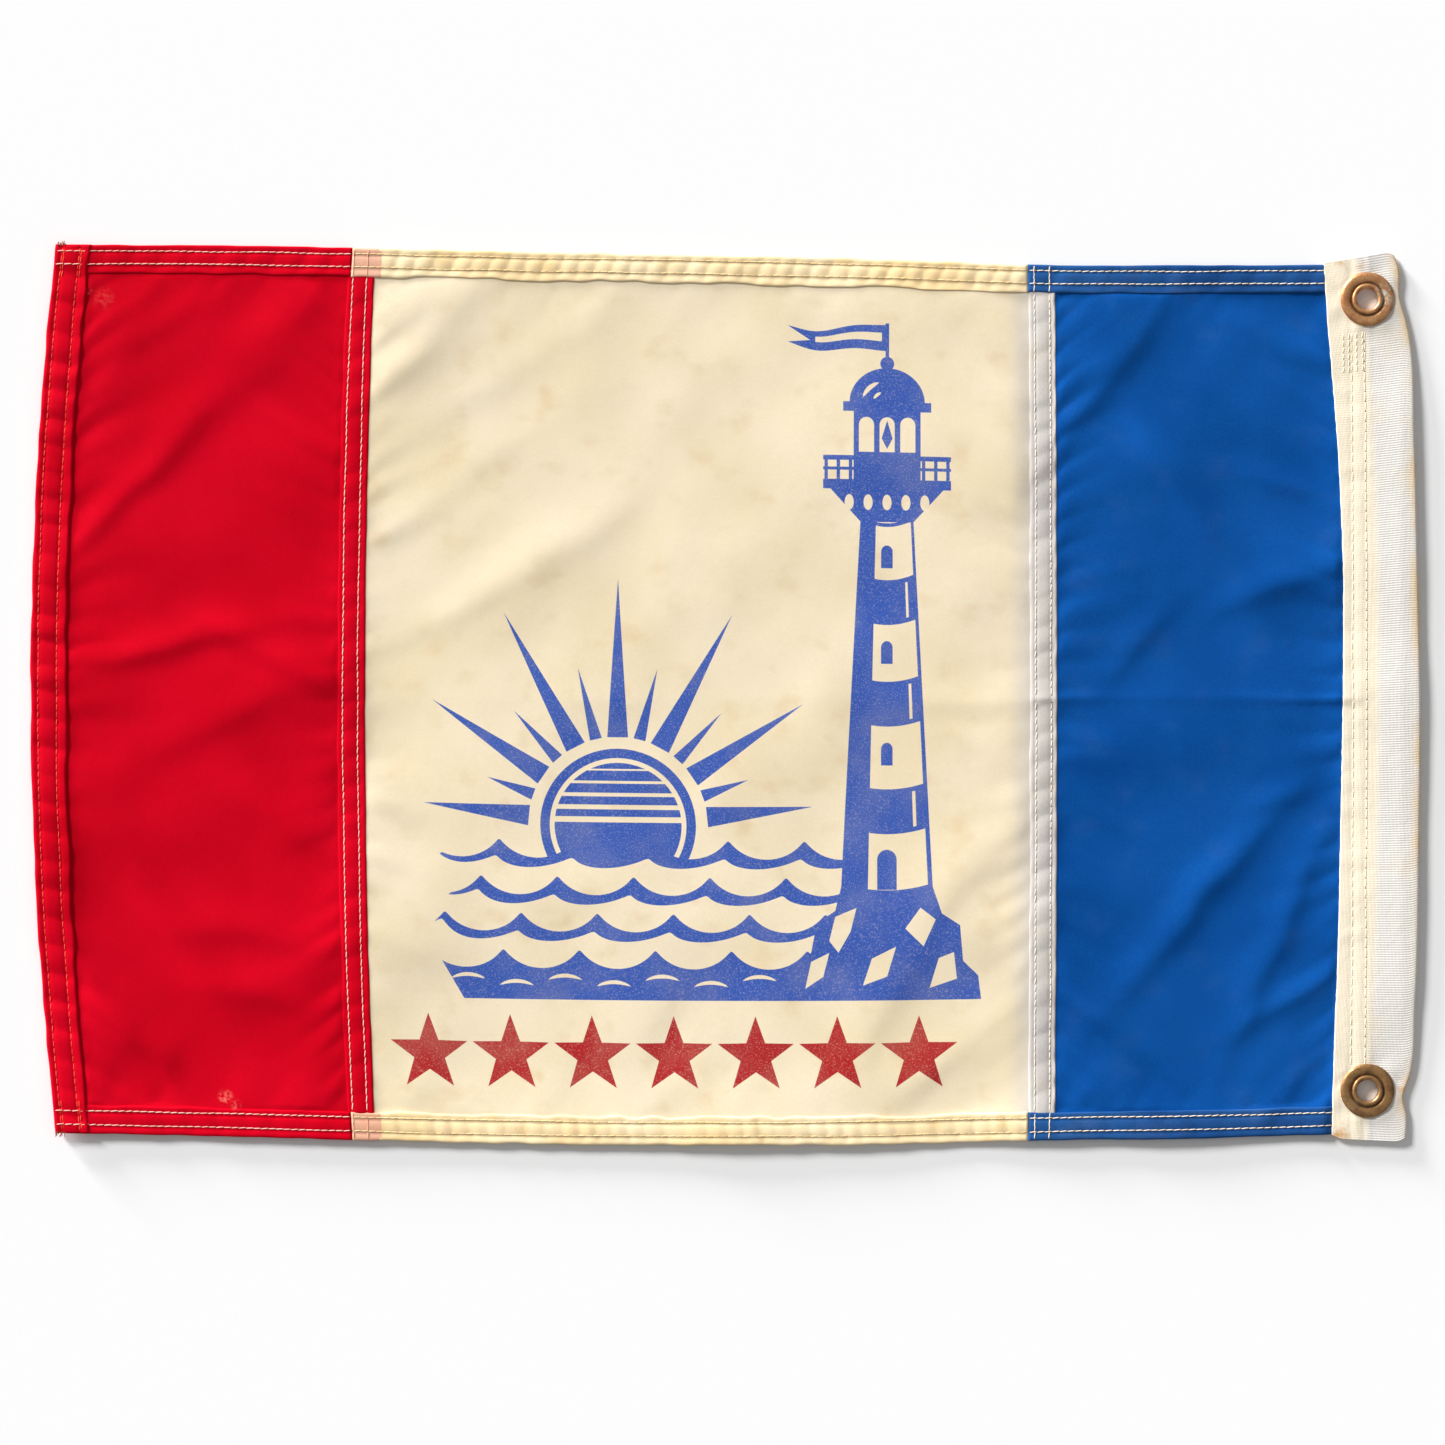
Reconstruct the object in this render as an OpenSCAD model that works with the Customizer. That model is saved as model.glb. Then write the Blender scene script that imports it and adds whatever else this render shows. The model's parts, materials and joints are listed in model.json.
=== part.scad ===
// Small hoist flag of three sewn nylon panels on a canvas heading with two grommets.
// It lies flat, reverse side up: +X runs from the fly to the heading, +Y up the hoist, +Z out of the cloth.
// The origin is under the middle of the flag, on the surface that it lies on.

/* [Flag] */
// Length along the straight corners, from the fly edge to the heading's outer edge
flag_l = 448.5; // [430:0.5:600]
// Height over everything
flag_h = 300; // [294:1:306]
// Width of the red panel, from the fly edge to the seam's edge on the white panel
red_w = 106.5; // [90:0.5:130]
// Width of the blue panel, from the seam's edge to the heading
blue_w = 91; // [70:0.5:110]
// Thickness of one ply of the nylon
ply_t = 0.4; // [0.3:0.05:0.5]

/* [Lie of the cloth] */
// How far the fly edge bows outward at half height
fly_bow = 8.5; // [0:0.5:10]
// How far the red and white seam bows towards the fly at half height
red_seam_bow = 3.5; // [0:0.5:4]
// How far the white and blue seam bows towards the heading at half height
blue_seam_bow = 0.8; // [0:0.1:2]
// How far the heading bows outward at half height
heading_bow = 5.5; // [0:0.5:6]
// How far the top edge falls between the fly and the blue panel
top_fall = 6.8; // [1.2:0.1:8]
// How far the bottom edge rises from its middle to its two ends
bottom_lift = 4; // [0.8:0.1:6]

/* [Hems and seams] */
// Width of the top and bottom hems
hem_w = 9.5; // [7:0.5:12]
// Width of the hem at the fly
fly_hem_w = 11.5; // [10:0.5:14]
// Width of the two felled seams
seam_w = 9; // [7:0.5:10]
// Thickness of a hem or a felled seam
hem_t = 0.8; // [0.6:0.1:0.9]
// Width and height of a laid sewing thread
thread_t = 0.25; // [0.2:0.05:0.35]

/* [Heading] */
// Width of the folded canvas heading
heading_w = 24.8; // [24.7:0.1:30]
// Thickness of the folded heading
heading_t = 1.6; // [1.4:0.1:1.8]
// How far the blue panel's edge reaches into the heading
tuck_w = 7.5; // [4:0.5:7.5]
// How much longer the heading's outer edge is than its inner edge, at the top
heading_flare_top = 4; // [0:0.5:5]
// How much longer the heading's outer edge is than its inner edge, at the bottom
heading_flare_bottom = 2; // [0:0.5:4]

/* [Grommets] */
// Radius of the hole through a grommet
hole_r = 3.6; // [3:0.1:3.8]
// Outer radius of the washer and of the eyelet's flange
grommet_r = 8.95; // [8.5:0.05:9.5]
// Distance between the two grommets' centres
grommet_pitch = 263.5; // [258:0.5:264]
// Thickness of the grommets' sheet brass
brass_t = 0.45; // [0.4:0.05:0.6]

/* [Folds] */
// Bare cloth kept on each side of a fold line between two panels
fold_gap = 2.1; // [2.1:0.1:3]
// Bare cloth kept on each side of the fold line at the heading
heading_fold_gap = 3; // [3:0.1:4]

/* [Hidden] */

// Colours
red_cloth = "#C8001E";
cream_cloth = "#F4E4C4";
blue_cloth = "#1055A0";
canvas = "#FAF0DC";
brass = "#A06E3C";
cream_thread = "#F0E1C8";
red_thread = "#E63C32";

// Lines across the flag, each by its x at the flag's corners
flare = 0.5;                             // how much further the outer edge bows than the heading's inner edge
u_fly = -(flag_l + fly_bow + heading_bow + flare) / 2 + fly_bow;
u_edge = u_fly + flag_l;
u_heading = u_edge - heading_w;
u_red = u_fly + red_w;
u_blue = u_heading - blue_w;
u_fly_hem = u_fly + fly_hem_w;
bare = 0.5;                              // single cloth left between a seam and its fold gap
heading_fold_x = u_heading - heading_fold_gap - bare;
blue_fold_x = u_blue - seam_w - fold_gap - bare;
red_fold_x = u_red - seam_w - red_seam_bow - fold_gap - bare;

// Heights: every layer is centred on the middle of the cloth
cloth_mid = brass_t + heading_t / 2;
heading_top = cloth_mid + heading_t / 2;
washer_top = heading_top + brass_t;
lip_h = 0.5;                             // height of the eyelet's rolled lip above the washer
barrel_r = hole_r + 0.5;                 // outside of the eyelet's barrel
lip_r = hole_r + 1.55;                   // outside of the rolled lip
fit_gap = 0.05;                          // radial room between the barrel and what it passes through

// Sewing
inset_outer = 2.5;                       // from a hem's fold to its outer row
inset_inner = 7;                         // from a hem's fold to its inner row
fly_rows = [2.2, 8.3];                   // from the fly edge
seam_rows = [2.2, 6.9];                  // from a felled seam's hoist-side edge
heading_rows = [6.7, 11.7];              // from the heading's inner edge
heading_row_bow = 1;                     // the heading's rows run straighter than its edges
tack_columns = [4.8, 9.3];               // from the heading's inner edge
tack_l = 12;                             // length of a bar tack
tack_drop = 10;                          // from the grommet's centre to the start of a bar tack

across = 8;                              // steps along a long edge, for its slow curve
upward = 12;                             // steps up the hoist

function mix(a, b, t) = a + (b - a) * t;
function from_edge(d) = 1 - 2 * d / (flag_h - bottom_lift);

// Heights up the hoist at which every bowed line has a corner, so that neighbours share their edge exactly
field_v = from_edge(hem_w);
corners = [for (i = [0:upward]) mix(-field_v, field_v, i / upward)];
function steps_up(v0, v1) = concat([v0], [for (v = corners) if (v > v0 && v < v1) v], [v1]);

// Outward bow at half height of the line that meets the corners at u
function bow(u) = lookup(u, [
    [u_fly, -fly_bow],
    [u_red, -red_seam_bow],
    [u_blue, blue_seam_bow],
    [u_heading, heading_bow],
    [u_edge, heading_bow + flare]
]);

// Ways to bound a piece at its left or right: a line that bows with the cloth, or a straight fold line
function bowed(u) = function(v) u + bow(u) * (1 - v * v);
function slightly_bowed(u) = function(v) u + heading_row_bow * (1 - v * v);
function straight(x) = function(v) x;

// The flag's top and bottom edges
function top_y(x) = x > u_heading
    ? flag_h / 2 - top_fall + heading_flare_top * (x - u_heading) / heading_w
    : flag_h / 2 - top_fall * min(1, max(0, (x - u_fly) / (u_blue - u_fly)));
function bottom_y(x) = x > u_heading
    ? -flag_h / 2 + bottom_lift - heading_flare_bottom * (x - u_heading) / heading_w
    : -flag_h / 2 + bottom_lift * pow(2 * (x - u_fly) / (u_heading - u_fly) - 1, 2);

// Height of a point on the flag: v is -1 on the bottom edge and 1 on the top edge
function lie_y(x, v) = mix(bottom_y(x), top_y(x), (v + 1) / 2);

// Outline of a piece between two lines, anticlockwise from its lower left corner
function outline(left, right, v0, v1) = let (up = steps_up(v0, v1), last = len(up) - 1) concat(
    [for (i = [0:across - 1]) let (x = mix(left(v0), right(v0), i / across)) [x, lie_y(x, v0)]],
    [for (i = [0:last - 1]) [right(up[i]), lie_y(right(up[i]), up[i])]],
    [for (i = [0:across - 1]) let (x = mix(right(v1), left(v1), i / across)) [x, lie_y(x, v1)]],
    [for (i = [last:-1:1]) [left(up[i]), lie_y(left(up[i]), up[i])]]
);

// A piece of cloth between two lines, from height v0 to v1, its middle raised by lift
module cloth(left, right, v0, v1, thick, lift = 0) {
    translate([0, 0, cloth_mid + lift - thick / 2])
        linear_extrude(thick)
            polygon(outline(left, right, v0, v1));
}

// Thread on both faces of a cloth of the given thickness
module both_faces(left, right, v0, v1, cloth_t) {
    for (side = [-1, 1])
        cloth(left, right, v0, v1, thread_t, side * (cloth_t + thread_t) / 2);
}

// The two rows along the top hem (side = 1) or the bottom hem (side = -1)
module hem_rows(left, right, side) {
    half = thread_t / flag_h;
    for (inset = [inset_outer, inset_inner]) {
        v = side * from_edge(inset);
        both_faces(left, right, v - half, v + half, hem_t);
    }
}

// One row up the hoist on a line at u
module upright_row(u, cloth_t, v0 = -1, v1 = 1) {
    both_faces(bowed(u - thread_t / 2), bowed(u + thread_t / 2), v0, v1, cloth_t);
}

// A panel's three parts: the field, the top hem (side = 1) and the bottom hem (side = -1)
module field(left, right) {
    cloth(left, right, -field_v, field_v, ply_t);
}

module hem(left, right, side) {
    cloth(left, right, side > 0 ? field_v : -1, side > 0 ? 1 : -field_v, hem_t);
}

// A felled seam up to the line at u, and the bare cloth between it and the fold line
module felled_seam(fold_x, u) {
    cloth(straight(fold_x + fold_gap), bowed(u - seam_w), -1, 1, ply_t);
    cloth(bowed(u - seam_w), bowed(u), -1, 1, hem_t);
}

module seam_stitching(u) {
    for (inset = seam_rows)
        upright_row(u - inset, hem_t);
}

// ---- Heading ----

grommet_x = u_edge - 11.85;

module at_grommet(side) {
    translate([grommet_x, side * grommet_pitch / 2, 0])
        children();
}

module heading_tape() {
    color(canvas)
        difference() {
            cloth(bowed(u_heading), bowed(u_edge), -1, 1, heading_t);
            cloth(bowed(u_heading - 1), bowed(u_heading + tuck_w), -1.1, 1.1, ply_t);
            for (side = [-1, 1])
                at_grommet(side)
                    cylinder(r = barrel_r + fit_gap, h = 4 * heading_t, $fn = 64);
        }
}

module blue_seam_allowance() {
    color(blue_cloth)
        cloth(straight(heading_fold_x + heading_fold_gap), bowed(u_heading + tuck_w), -1, 1, ply_t);
}

module heading_stitching() {
    reach = 2 * (grommet_pitch / 2 - grommet_r - 1) / flag_h;
    color(cream_thread)
        for (inset = heading_rows) {
            u = u_heading + inset;
            both_faces(
                slightly_bowed(u - thread_t / 2), slightly_bowed(u + thread_t / 2),
                -reach, reach, heading_t
            );
        }
}

module heading_bar_tacks() {
    high = 2 * (grommet_pitch / 2 - tack_drop) / flag_h;
    low = high - 2 * tack_l / flag_h;
    color(cream_thread)
        for (inset = tack_columns) {
            u = u_heading + inset;
            both_faces(
                slightly_bowed(u - thread_t / 2), slightly_bowed(u + thread_t / 2),
                low, high, heading_t
            );
        }
}

// Half an ellipse over a base line, as points from its outer end to its inner end
function arch(r0, r1, z, h) = [
    for (a = [0:20:180]) [mix(r0, r1, (1 + cos(a)) / 2), z + h * sin(a)]
];

// Flange on the front, barrel through the heading, and lip rolled over the washer
module eyelet() {
    flare_r = 0.6;
    rotate_extrude($fn = 64)
        union() {
            translate([hole_r, brass_t])
                square([barrel_r - hole_r, washer_top - brass_t]);
            polygon(arch(hole_r, lip_r, washer_top, lip_h));
            polygon([
                [hole_r, brass_t],
                [hole_r + flare_r / 3, brass_t / 3],
                [hole_r + flare_r, 0],
                [grommet_r - flare_r, 0],
                [grommet_r, brass_t / 2],
                [grommet_r, brass_t]
            ]);
        }
}

// Ring under the rolled lip, with a soft outer edge
module washer() {
    edge = 0.5;
    rotate_extrude($fn = 64)
        polygon([
            [barrel_r + fit_gap, heading_top],
            [grommet_r, heading_top],
            [grommet_r, heading_top + brass_t / 2],
            [grommet_r - edge, washer_top],
            [barrel_r + fit_gap, washer_top]
        ]);
}

module upper_grommet_eyelet() { color(brass) at_grommet(1) eyelet(); }
module upper_grommet_washer() { color(brass) at_grommet(1) washer(); }
module lower_grommet_eyelet() { color(brass) at_grommet(-1) eyelet(); }
module lower_grommet_washer() { color(brass) at_grommet(-1) washer(); }

// ---- Blue panel ----

blue_left = bowed(u_blue);
blue_right = straight(heading_fold_x - heading_fold_gap);

module blue_panel() { color(blue_cloth) field(blue_left, blue_right); }
module blue_top_hem() { color(blue_cloth) hem(blue_left, blue_right, 1); }
module blue_bottom_hem() { color(blue_cloth) hem(blue_left, blue_right, -1); }
module blue_top_hem_stitching() { color(cream_thread) hem_rows(blue_left, blue_right, 1); }
module blue_bottom_hem_stitching() { color(cream_thread) hem_rows(blue_left, blue_right, -1); }
module blue_white_seam() { color(cream_cloth) felled_seam(blue_fold_x, u_blue); }
module blue_white_seam_stitching() { color(cream_thread) seam_stitching(u_blue); }

// ---- White panel ----

white_left = bowed(u_red);
white_right = straight(blue_fold_x - fold_gap);

module white_panel() { color(cream_cloth) field(white_left, white_right); }
module white_top_hem() { color(cream_cloth) hem(white_left, white_right, 1); }
module white_bottom_hem() { color(cream_cloth) hem(white_left, white_right, -1); }
module white_top_hem_stitching() { color(cream_thread) hem_rows(white_left, white_right, 1); }
module white_bottom_hem_stitching() { color(cream_thread) hem_rows(white_left, white_right, -1); }
module white_red_seam() { color(red_cloth) felled_seam(red_fold_x, u_red); }
module white_red_seam_stitching() { color(cream_thread) seam_stitching(u_red); }

// ---- Red panel ----

red_left = bowed(u_fly_hem);
red_right = straight(red_fold_x - fold_gap);

module red_panel() { color(red_cloth) field(red_left, red_right); }
module red_top_hem() { color(red_cloth) hem(red_left, red_right, 1); }
module red_bottom_hem() { color(red_cloth) hem(red_left, red_right, -1); }
module red_top_hem_stitching() { color(cream_thread) hem_rows(red_left, red_right, 1); }
module red_bottom_hem_stitching() { color(cream_thread) hem_rows(red_left, red_right, -1); }
module fly_hem() { color(red_cloth) cloth(bowed(u_fly), red_left, -1, 1, hem_t); }

module fly_hem_stitching() {
    color(red_thread)
        for (inset = fly_rows)
            upright_row(u_fly + inset, hem_t);
}

heading_tape();
heading_stitching();
heading_bar_tacks();
upper_grommet_eyelet();
upper_grommet_washer();
lower_grommet_eyelet();
lower_grommet_washer();
blue_seam_allowance();
blue_panel();
blue_top_hem();
blue_bottom_hem();
blue_top_hem_stitching();
blue_bottom_hem_stitching();
blue_white_seam();
blue_white_seam_stitching();
white_panel();
white_top_hem();
white_bottom_hem();
white_top_hem_stitching();
white_bottom_hem_stitching();
white_red_seam();
white_red_seam_stitching();
red_panel();
red_top_hem();
red_bottom_hem();
red_top_hem_stitching();
red_bottom_hem_stitching();
fly_hem();
fly_hem_stitching();
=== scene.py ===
"""A small sewn hoist flag, laid flat with its reverse side up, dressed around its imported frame.

Lengths are in millimetres until a mesh is made, and meshes are in metres. A place on the flag is given by
two cut coordinates: s, its x where the cloth's upright threads meet the flag's corners, and t, from -1 on
the bottom edge to 1 on the top edge.
"""

import json
import logging
import math
from dataclasses import dataclass, field
from enum import Enum

import bpy
import numpy as np
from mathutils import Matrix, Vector
from mathutils.geometry import delaunay_2d_cdt


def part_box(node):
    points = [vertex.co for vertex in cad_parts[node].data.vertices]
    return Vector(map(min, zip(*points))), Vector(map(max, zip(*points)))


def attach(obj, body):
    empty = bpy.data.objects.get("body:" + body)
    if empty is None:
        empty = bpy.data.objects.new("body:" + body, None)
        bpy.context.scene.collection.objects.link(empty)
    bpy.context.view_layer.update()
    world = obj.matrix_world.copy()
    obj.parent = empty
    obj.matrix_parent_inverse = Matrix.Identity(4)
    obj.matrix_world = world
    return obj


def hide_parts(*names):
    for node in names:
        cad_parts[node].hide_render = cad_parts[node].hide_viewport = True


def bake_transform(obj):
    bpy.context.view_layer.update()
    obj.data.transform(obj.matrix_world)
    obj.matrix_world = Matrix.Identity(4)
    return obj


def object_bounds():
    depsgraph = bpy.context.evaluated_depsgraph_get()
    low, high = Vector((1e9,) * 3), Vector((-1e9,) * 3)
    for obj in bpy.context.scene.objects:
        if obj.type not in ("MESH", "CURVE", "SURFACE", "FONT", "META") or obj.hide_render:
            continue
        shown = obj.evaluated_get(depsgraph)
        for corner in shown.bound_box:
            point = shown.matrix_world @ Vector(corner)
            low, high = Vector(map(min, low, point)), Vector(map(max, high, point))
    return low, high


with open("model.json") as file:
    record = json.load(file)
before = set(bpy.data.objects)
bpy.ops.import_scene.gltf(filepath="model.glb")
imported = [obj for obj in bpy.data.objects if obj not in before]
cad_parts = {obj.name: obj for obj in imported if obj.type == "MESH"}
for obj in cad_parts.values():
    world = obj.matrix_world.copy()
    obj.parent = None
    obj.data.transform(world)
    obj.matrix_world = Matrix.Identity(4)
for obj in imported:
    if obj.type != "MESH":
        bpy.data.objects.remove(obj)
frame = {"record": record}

CAD_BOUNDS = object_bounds()
MM = 0.001

log = logging.getLogger("flag")

Socket = bpy.types.NodeSocket
Piece = bpy.types.Object
Material = bpy.types.Material


class Body(str, Enum):
    """The rigid bodies that the pieces ride on."""

    HEADING = "heading"
    BLUE = "blue_field"
    WHITE = "white_field"
    RED = "red_field"


class Slot(str, Enum):
    """The record's material slots."""

    RED = "red_nylon"
    WHITE = "white_nylon"
    BLUE = "blue_nylon"
    CANVAS = "heading_canvas"
    BRASS = "brass"
    CREAM_THREAD = "cream_thread"
    RED_THREAD = "red_thread"


class Ink(int, Enum):
    """What is printed on a face of the white panel: the number is its material's place on the piece."""

    NONE = 0
    BLUE = 1
    RED = 2


def box_mm(node: str) -> tuple[np.ndarray, np.ndarray]:
    """Lowest and highest corners of a CAD node at rest, in millimetres."""
    low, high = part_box(node)
    return np.array(low) / MM, np.array(high) / MM


# ------------------------------------------------------------------------------
# Noise and curves
# ------------------------------------------------------------------------------


def ease(x: np.ndarray) -> np.ndarray:
    """Smooth step of a fraction: three squares less two cubes."""
    return x * x * (3 - 2 * x)


def wander(x: np.ndarray, seed: int) -> np.ndarray:
    """Smooth random curve between -1 and 1 with one knot a unit.

    Args:
        x: Places along the curve.
        seed: Which curve.

    Returns:
        Knots drawn from the seed, joined by smooth steps.
    """
    knots = np.random.default_rng(seed).uniform(-1, 1, 512)
    i = np.floor(x).astype(int)
    f = ease(x - i)
    return knots[i % 512] * (1 - f) + knots[(i + 1) % 512] * f


def mottle(x: np.ndarray, y: np.ndarray, seed: int) -> np.ndarray:
    """Smooth random surface between -1 and 1 with one knot a unit each way.

    Args:
        x: Places across.
        y: Places up.
        seed: Which surface.

    Returns:
        Knots on a square lattice, joined by smooth steps both ways.
    """
    knots = np.random.default_rng(seed).uniform(-1, 1, (64, 64))
    i, j = np.floor(x).astype(int), np.floor(y).astype(int)
    f, g = ease(x - i), ease(y - j)
    low = knots[i % 64, j % 64] * (1 - f) + knots[(i + 1) % 64, j % 64] * f
    high = knots[i % 64, (j + 1) % 64] * (1 - f) + knots[(i + 1) % 64, (j + 1) % 64] * f
    return low * (1 - g) + high * g


def pillow(u: np.ndarray) -> np.ndarray:
    """Round puffs one unit long with a sharp valley between each two, from -1 to 1."""
    return 2 * np.abs(np.sin(np.pi * u)) ** 0.8 - 1


def through(x: np.ndarray, points: tuple[tuple[float, float], ...]) -> np.ndarray:
    """Smooth curve through a few points, held level past its ends.

    Args:
        x: Where the curve is wanted.
        points: Its knots, from low to high x.

    Returns:
        The cubic Hermite curve whose slopes are the knots' central differences.
    """
    knots = np.array(points, float)
    at, value = knots[:, 0], knots[:, 1]
    slope = np.gradient(value, at)
    x = np.clip(x, at[0], at[-1])
    i = np.clip(np.searchsorted(at, x) - 1, 0, len(at) - 2)
    h = at[i + 1] - at[i]
    f = (x - at[i]) / h
    return (
        (2 * f**3 - 3 * f**2 + 1) * value[i]
        + (f**3 - 2 * f**2 + f) * h * slope[i]
        + (3 * f**2 - 2 * f**3) * value[i + 1]
        + (f**3 - f**2) * h * slope[i + 1]
    )


# ------------------------------------------------------------------------------
# How the flag is cut and how it lies
# ------------------------------------------------------------------------------


@dataclass(frozen=True)
class Plan:
    """Lines up the flag by their s, and the heights that the frame gives."""

    fly_bow: float = 8.5
    red_bow: float = 3.5
    blue_bow: float = 0.8
    heading_bow: float = 5.0
    seam_w: float = 9.0
    hem_w: float = 9.5

    @property
    def fly(self) -> float:
        """The fly edge."""
        return box_mm("fly_hem")[0][0] + self.fly_bow

    @property
    def fly_hem(self) -> float:
        """The inner edge of the fly hem."""
        return box_mm("fly_hem")[1][0]

    @property
    def red(self) -> float:
        """The edge of the red panel on the white one."""
        return box_mm("white_panel")[0][0] + self.red_bow

    @property
    def blue(self) -> float:
        """The edge of the white panel on the blue one."""
        return box_mm("blue_white_seam")[1][0] - self.blue_bow

    @property
    def heading(self) -> float:
        """The heading's inner edge."""
        return box_mm("heading_tape")[0][0]

    @property
    def half(self) -> float:
        """Half the mean height of the sewn cloth."""
        return (CAD_BOUNDS[1][1] - CAD_BOUNDS[0][1]) / MM / 2 - 2

    def fold_x(self, joint: str) -> float:
        """The x of a joint's axis."""
        found = next(j for j in frame["record"]["behaviour"]["joints"] if j["name"] == joint)
        return found["pos_m"][0] / MM

    def from_edge(self, inset: float | np.ndarray) -> float | np.ndarray:
        """The t of a line that runs inset inside the top edge."""
        return 1 - inset / self.half


def grommet_at(which: str) -> np.ndarray:
    """Centre of the upper or lower grommet, at the height of the heading's middle."""
    low, high = box_mm(f"{which}_grommet_washer")
    tape_low, tape_high = box_mm("heading_tape")
    return np.array([(low[0] + high[0]) / 2, (low[1] + high[1]) / 2, (tape_low[2] + tape_high[2]) / 2])


@dataclass(frozen=True)
class TapeRest:
    """How the heading tape rests: on its grommets, sunk to the table between them, creased at half height."""

    crease_y: float = -1.5
    table_gap: float = 0.12
    flat_r: float = 9.0
    sag_reach: float = 30.0
    inner_x: float = 203.0
    edge_lift: float = 1.0
    edge_lift_w: float = 22.0

    def middle(self, x: np.ndarray, y: np.ndarray) -> np.ndarray:
        """Height of the tape's middle.

        Args:
            x: Places across the flag.
            y: Places up the flag.

        Returns:
            The grommets' height, less an eased sag that starts near them, with ripples round each grommet.
        """
        centre = grommet_at("upper")
        away = np.minimum(np.abs(y - centre[1]), np.abs(y + centre[1]))
        free = ease(np.clip((away - self.flat_r) / self.sag_reach, 0, 1))
        z = centre[2] - (box_mm("heading_tape")[0][2] - self.table_gap - 0.25) * free
        z = z + 0.22 * wander(y / 22, 31) * free
        z = z + 0.09 * wander(y / 4.2, 41) * free * np.exp(-(((x - 209) / 5) ** 2))
        z = z + self.edge_lift * free * np.clip((x - self.inner_x) / self.edge_lift_w, 0, 1) ** 1.5
        for which in ("upper", "lower"):
            gx, gy, _ = grommet_at(which)
            r = np.hypot(x - gx, y - gy)
            turn = np.arctan2(y - gy, x - gx)
            z = z + 0.16 * np.cos(7 * turn + 1.3) * np.clip(r - 9, 0, 1) * np.exp(-np.maximum(r - 9.4, 0) / 5)
        fold = np.exp(-np.abs(y - self.crease_y) / 1.4) * np.exp(-(((x - self.inner_x) / 7) ** 2))
        return z + 0.45 * fold


@dataclass(frozen=True)
class Fold:
    """A soft fold that the cloth keeps: its middle, its direction and its size."""

    x: float
    y: float
    angle: float
    reach: float
    width: float
    height: float

    def lift(self, x: np.ndarray, y: np.ndarray) -> np.ndarray:
        """Height of the fold over each point.

        Args:
            x: Points across the flag.
            y: Points up the flag.

        Returns:
            A bell along the fold times a bell across it that is half as steep on its upper side.
        """
        turn = math.radians(self.angle)
        along = (x - self.x) * math.cos(turn) + (y - self.y) * math.sin(turn)
        across = (y - self.y) * math.cos(turn) - (x - self.x) * math.sin(turn)
        across = across + 1.5 * wander(along / 14 + self.x, 5)
        width = np.where(across > 0, 1.25, 0.8) * self.width
        return self.height * np.exp(-((along / self.reach) ** 2) - (across / width) ** 2)


RED_FOLDS = (
    Fold(-200, 66, 48, 30, 5, 1.3),
    Fold(-168, 100, 42, 34, 8, 0.8),
    Fold(-188, 16, 14, 34, 5, 1.4),
    Fold(-150, 12, -26, 30, 5, 1.2),
    Fold(-165, -6, 24, 26, 6, 0.8),
    Fold(-200, -58, -45, 30, 6, 1.0),
    Fold(-178, -88, -58, 30, 7, 0.9),
    Fold(-155, -80, -6, 26, 6, 1.0),
    Fold(-155, -100, -8, 22, 5, 0.8),
    Fold(-198, -112, -50, 34, 4, 1.5),
    Fold(-205, -130, -48, 18, 3.5, 0.9),
    Fold(-148, 90, -35, 16, 4, 0.8),
    Fold(-148, 62, -40, 14, 4, 0.7),
    Fold(-150, -42, -32, 24, 5, 0.8),
    Fold(-195, 118, 35, 24, 6, 0.7),
    Fold(-145, 125, 35, 20, 6, 0.5),
)
WHITE_FOLDS = (
    Fold(-90, 72, 36, 46, 7, 1.0),
    Fold(-78, 105, 30, 34, 7, 0.7),
    Fold(-92, 28, 30, 44, 6, 1.1),
    Fold(-45, 55, 42, 34, 8, 0.8),
    Fold(-96, 122, 42, 26, 6, 0.8),
    Fold(-95, -48, -42, 34, 6, 0.9),
    Fold(-105, -90, -45, 24, 5, 0.8),
    Fold(20, 30, -52, 26, 8, 0.6),
    Fold(5, 70, 40, 30, 9, 0.6),
    Fold(85, -2, 4, 30, 5, 0.9),
    Fold(82, -58, 45, 30, 6, 0.8),
    Fold(58, -95, 62, 34, 6, 0.8),
    Fold(86, 84, -38, 26, 6, 0.9),
    Fold(-25, -112, 70, 22, 7, 0.5),
    Fold(86, 42, -25, 22, 5, 0.6),
    Fold(88, -20, -28, 22, 4, 0.5),
    Fold(60, 108, -30, 24, 6, 0.5),
    Fold(70, -125, 40, 22, 5, 0.6),
)
BLUE_FOLDS = (
    Fold(150, 72, -58, 42, 7, 1.5),
    Fold(124, 102, 52, 30, 5, 1.2),
    Fold(184, 116, -28, 18, 4, 0.9),
    Fold(186, 36, 18, 24, 5, 1.1),
    Fold(160, -66, 50, 46, 6, 1.6),
    Fold(184, -82, 66, 46, 5, 1.0),
    Fold(124, -108, -38, 26, 4, 1.2),
    Fold(138, 18, 45, 18, 5, 0.8),
    Fold(190, -100, 30, 22, 4, 0.9),
    Fold(148, -14, -45, 14, 4, 0.6),
    Fold(188, 70, -10, 18, 4, 0.7),
    Fold(185, -35, 10, 16, 4, 0.6),
    Fold(130, -45, -20, 18, 5, 0.5),
    Fold(190, -128, 50, 20, 4, 0.8),
)


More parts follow.
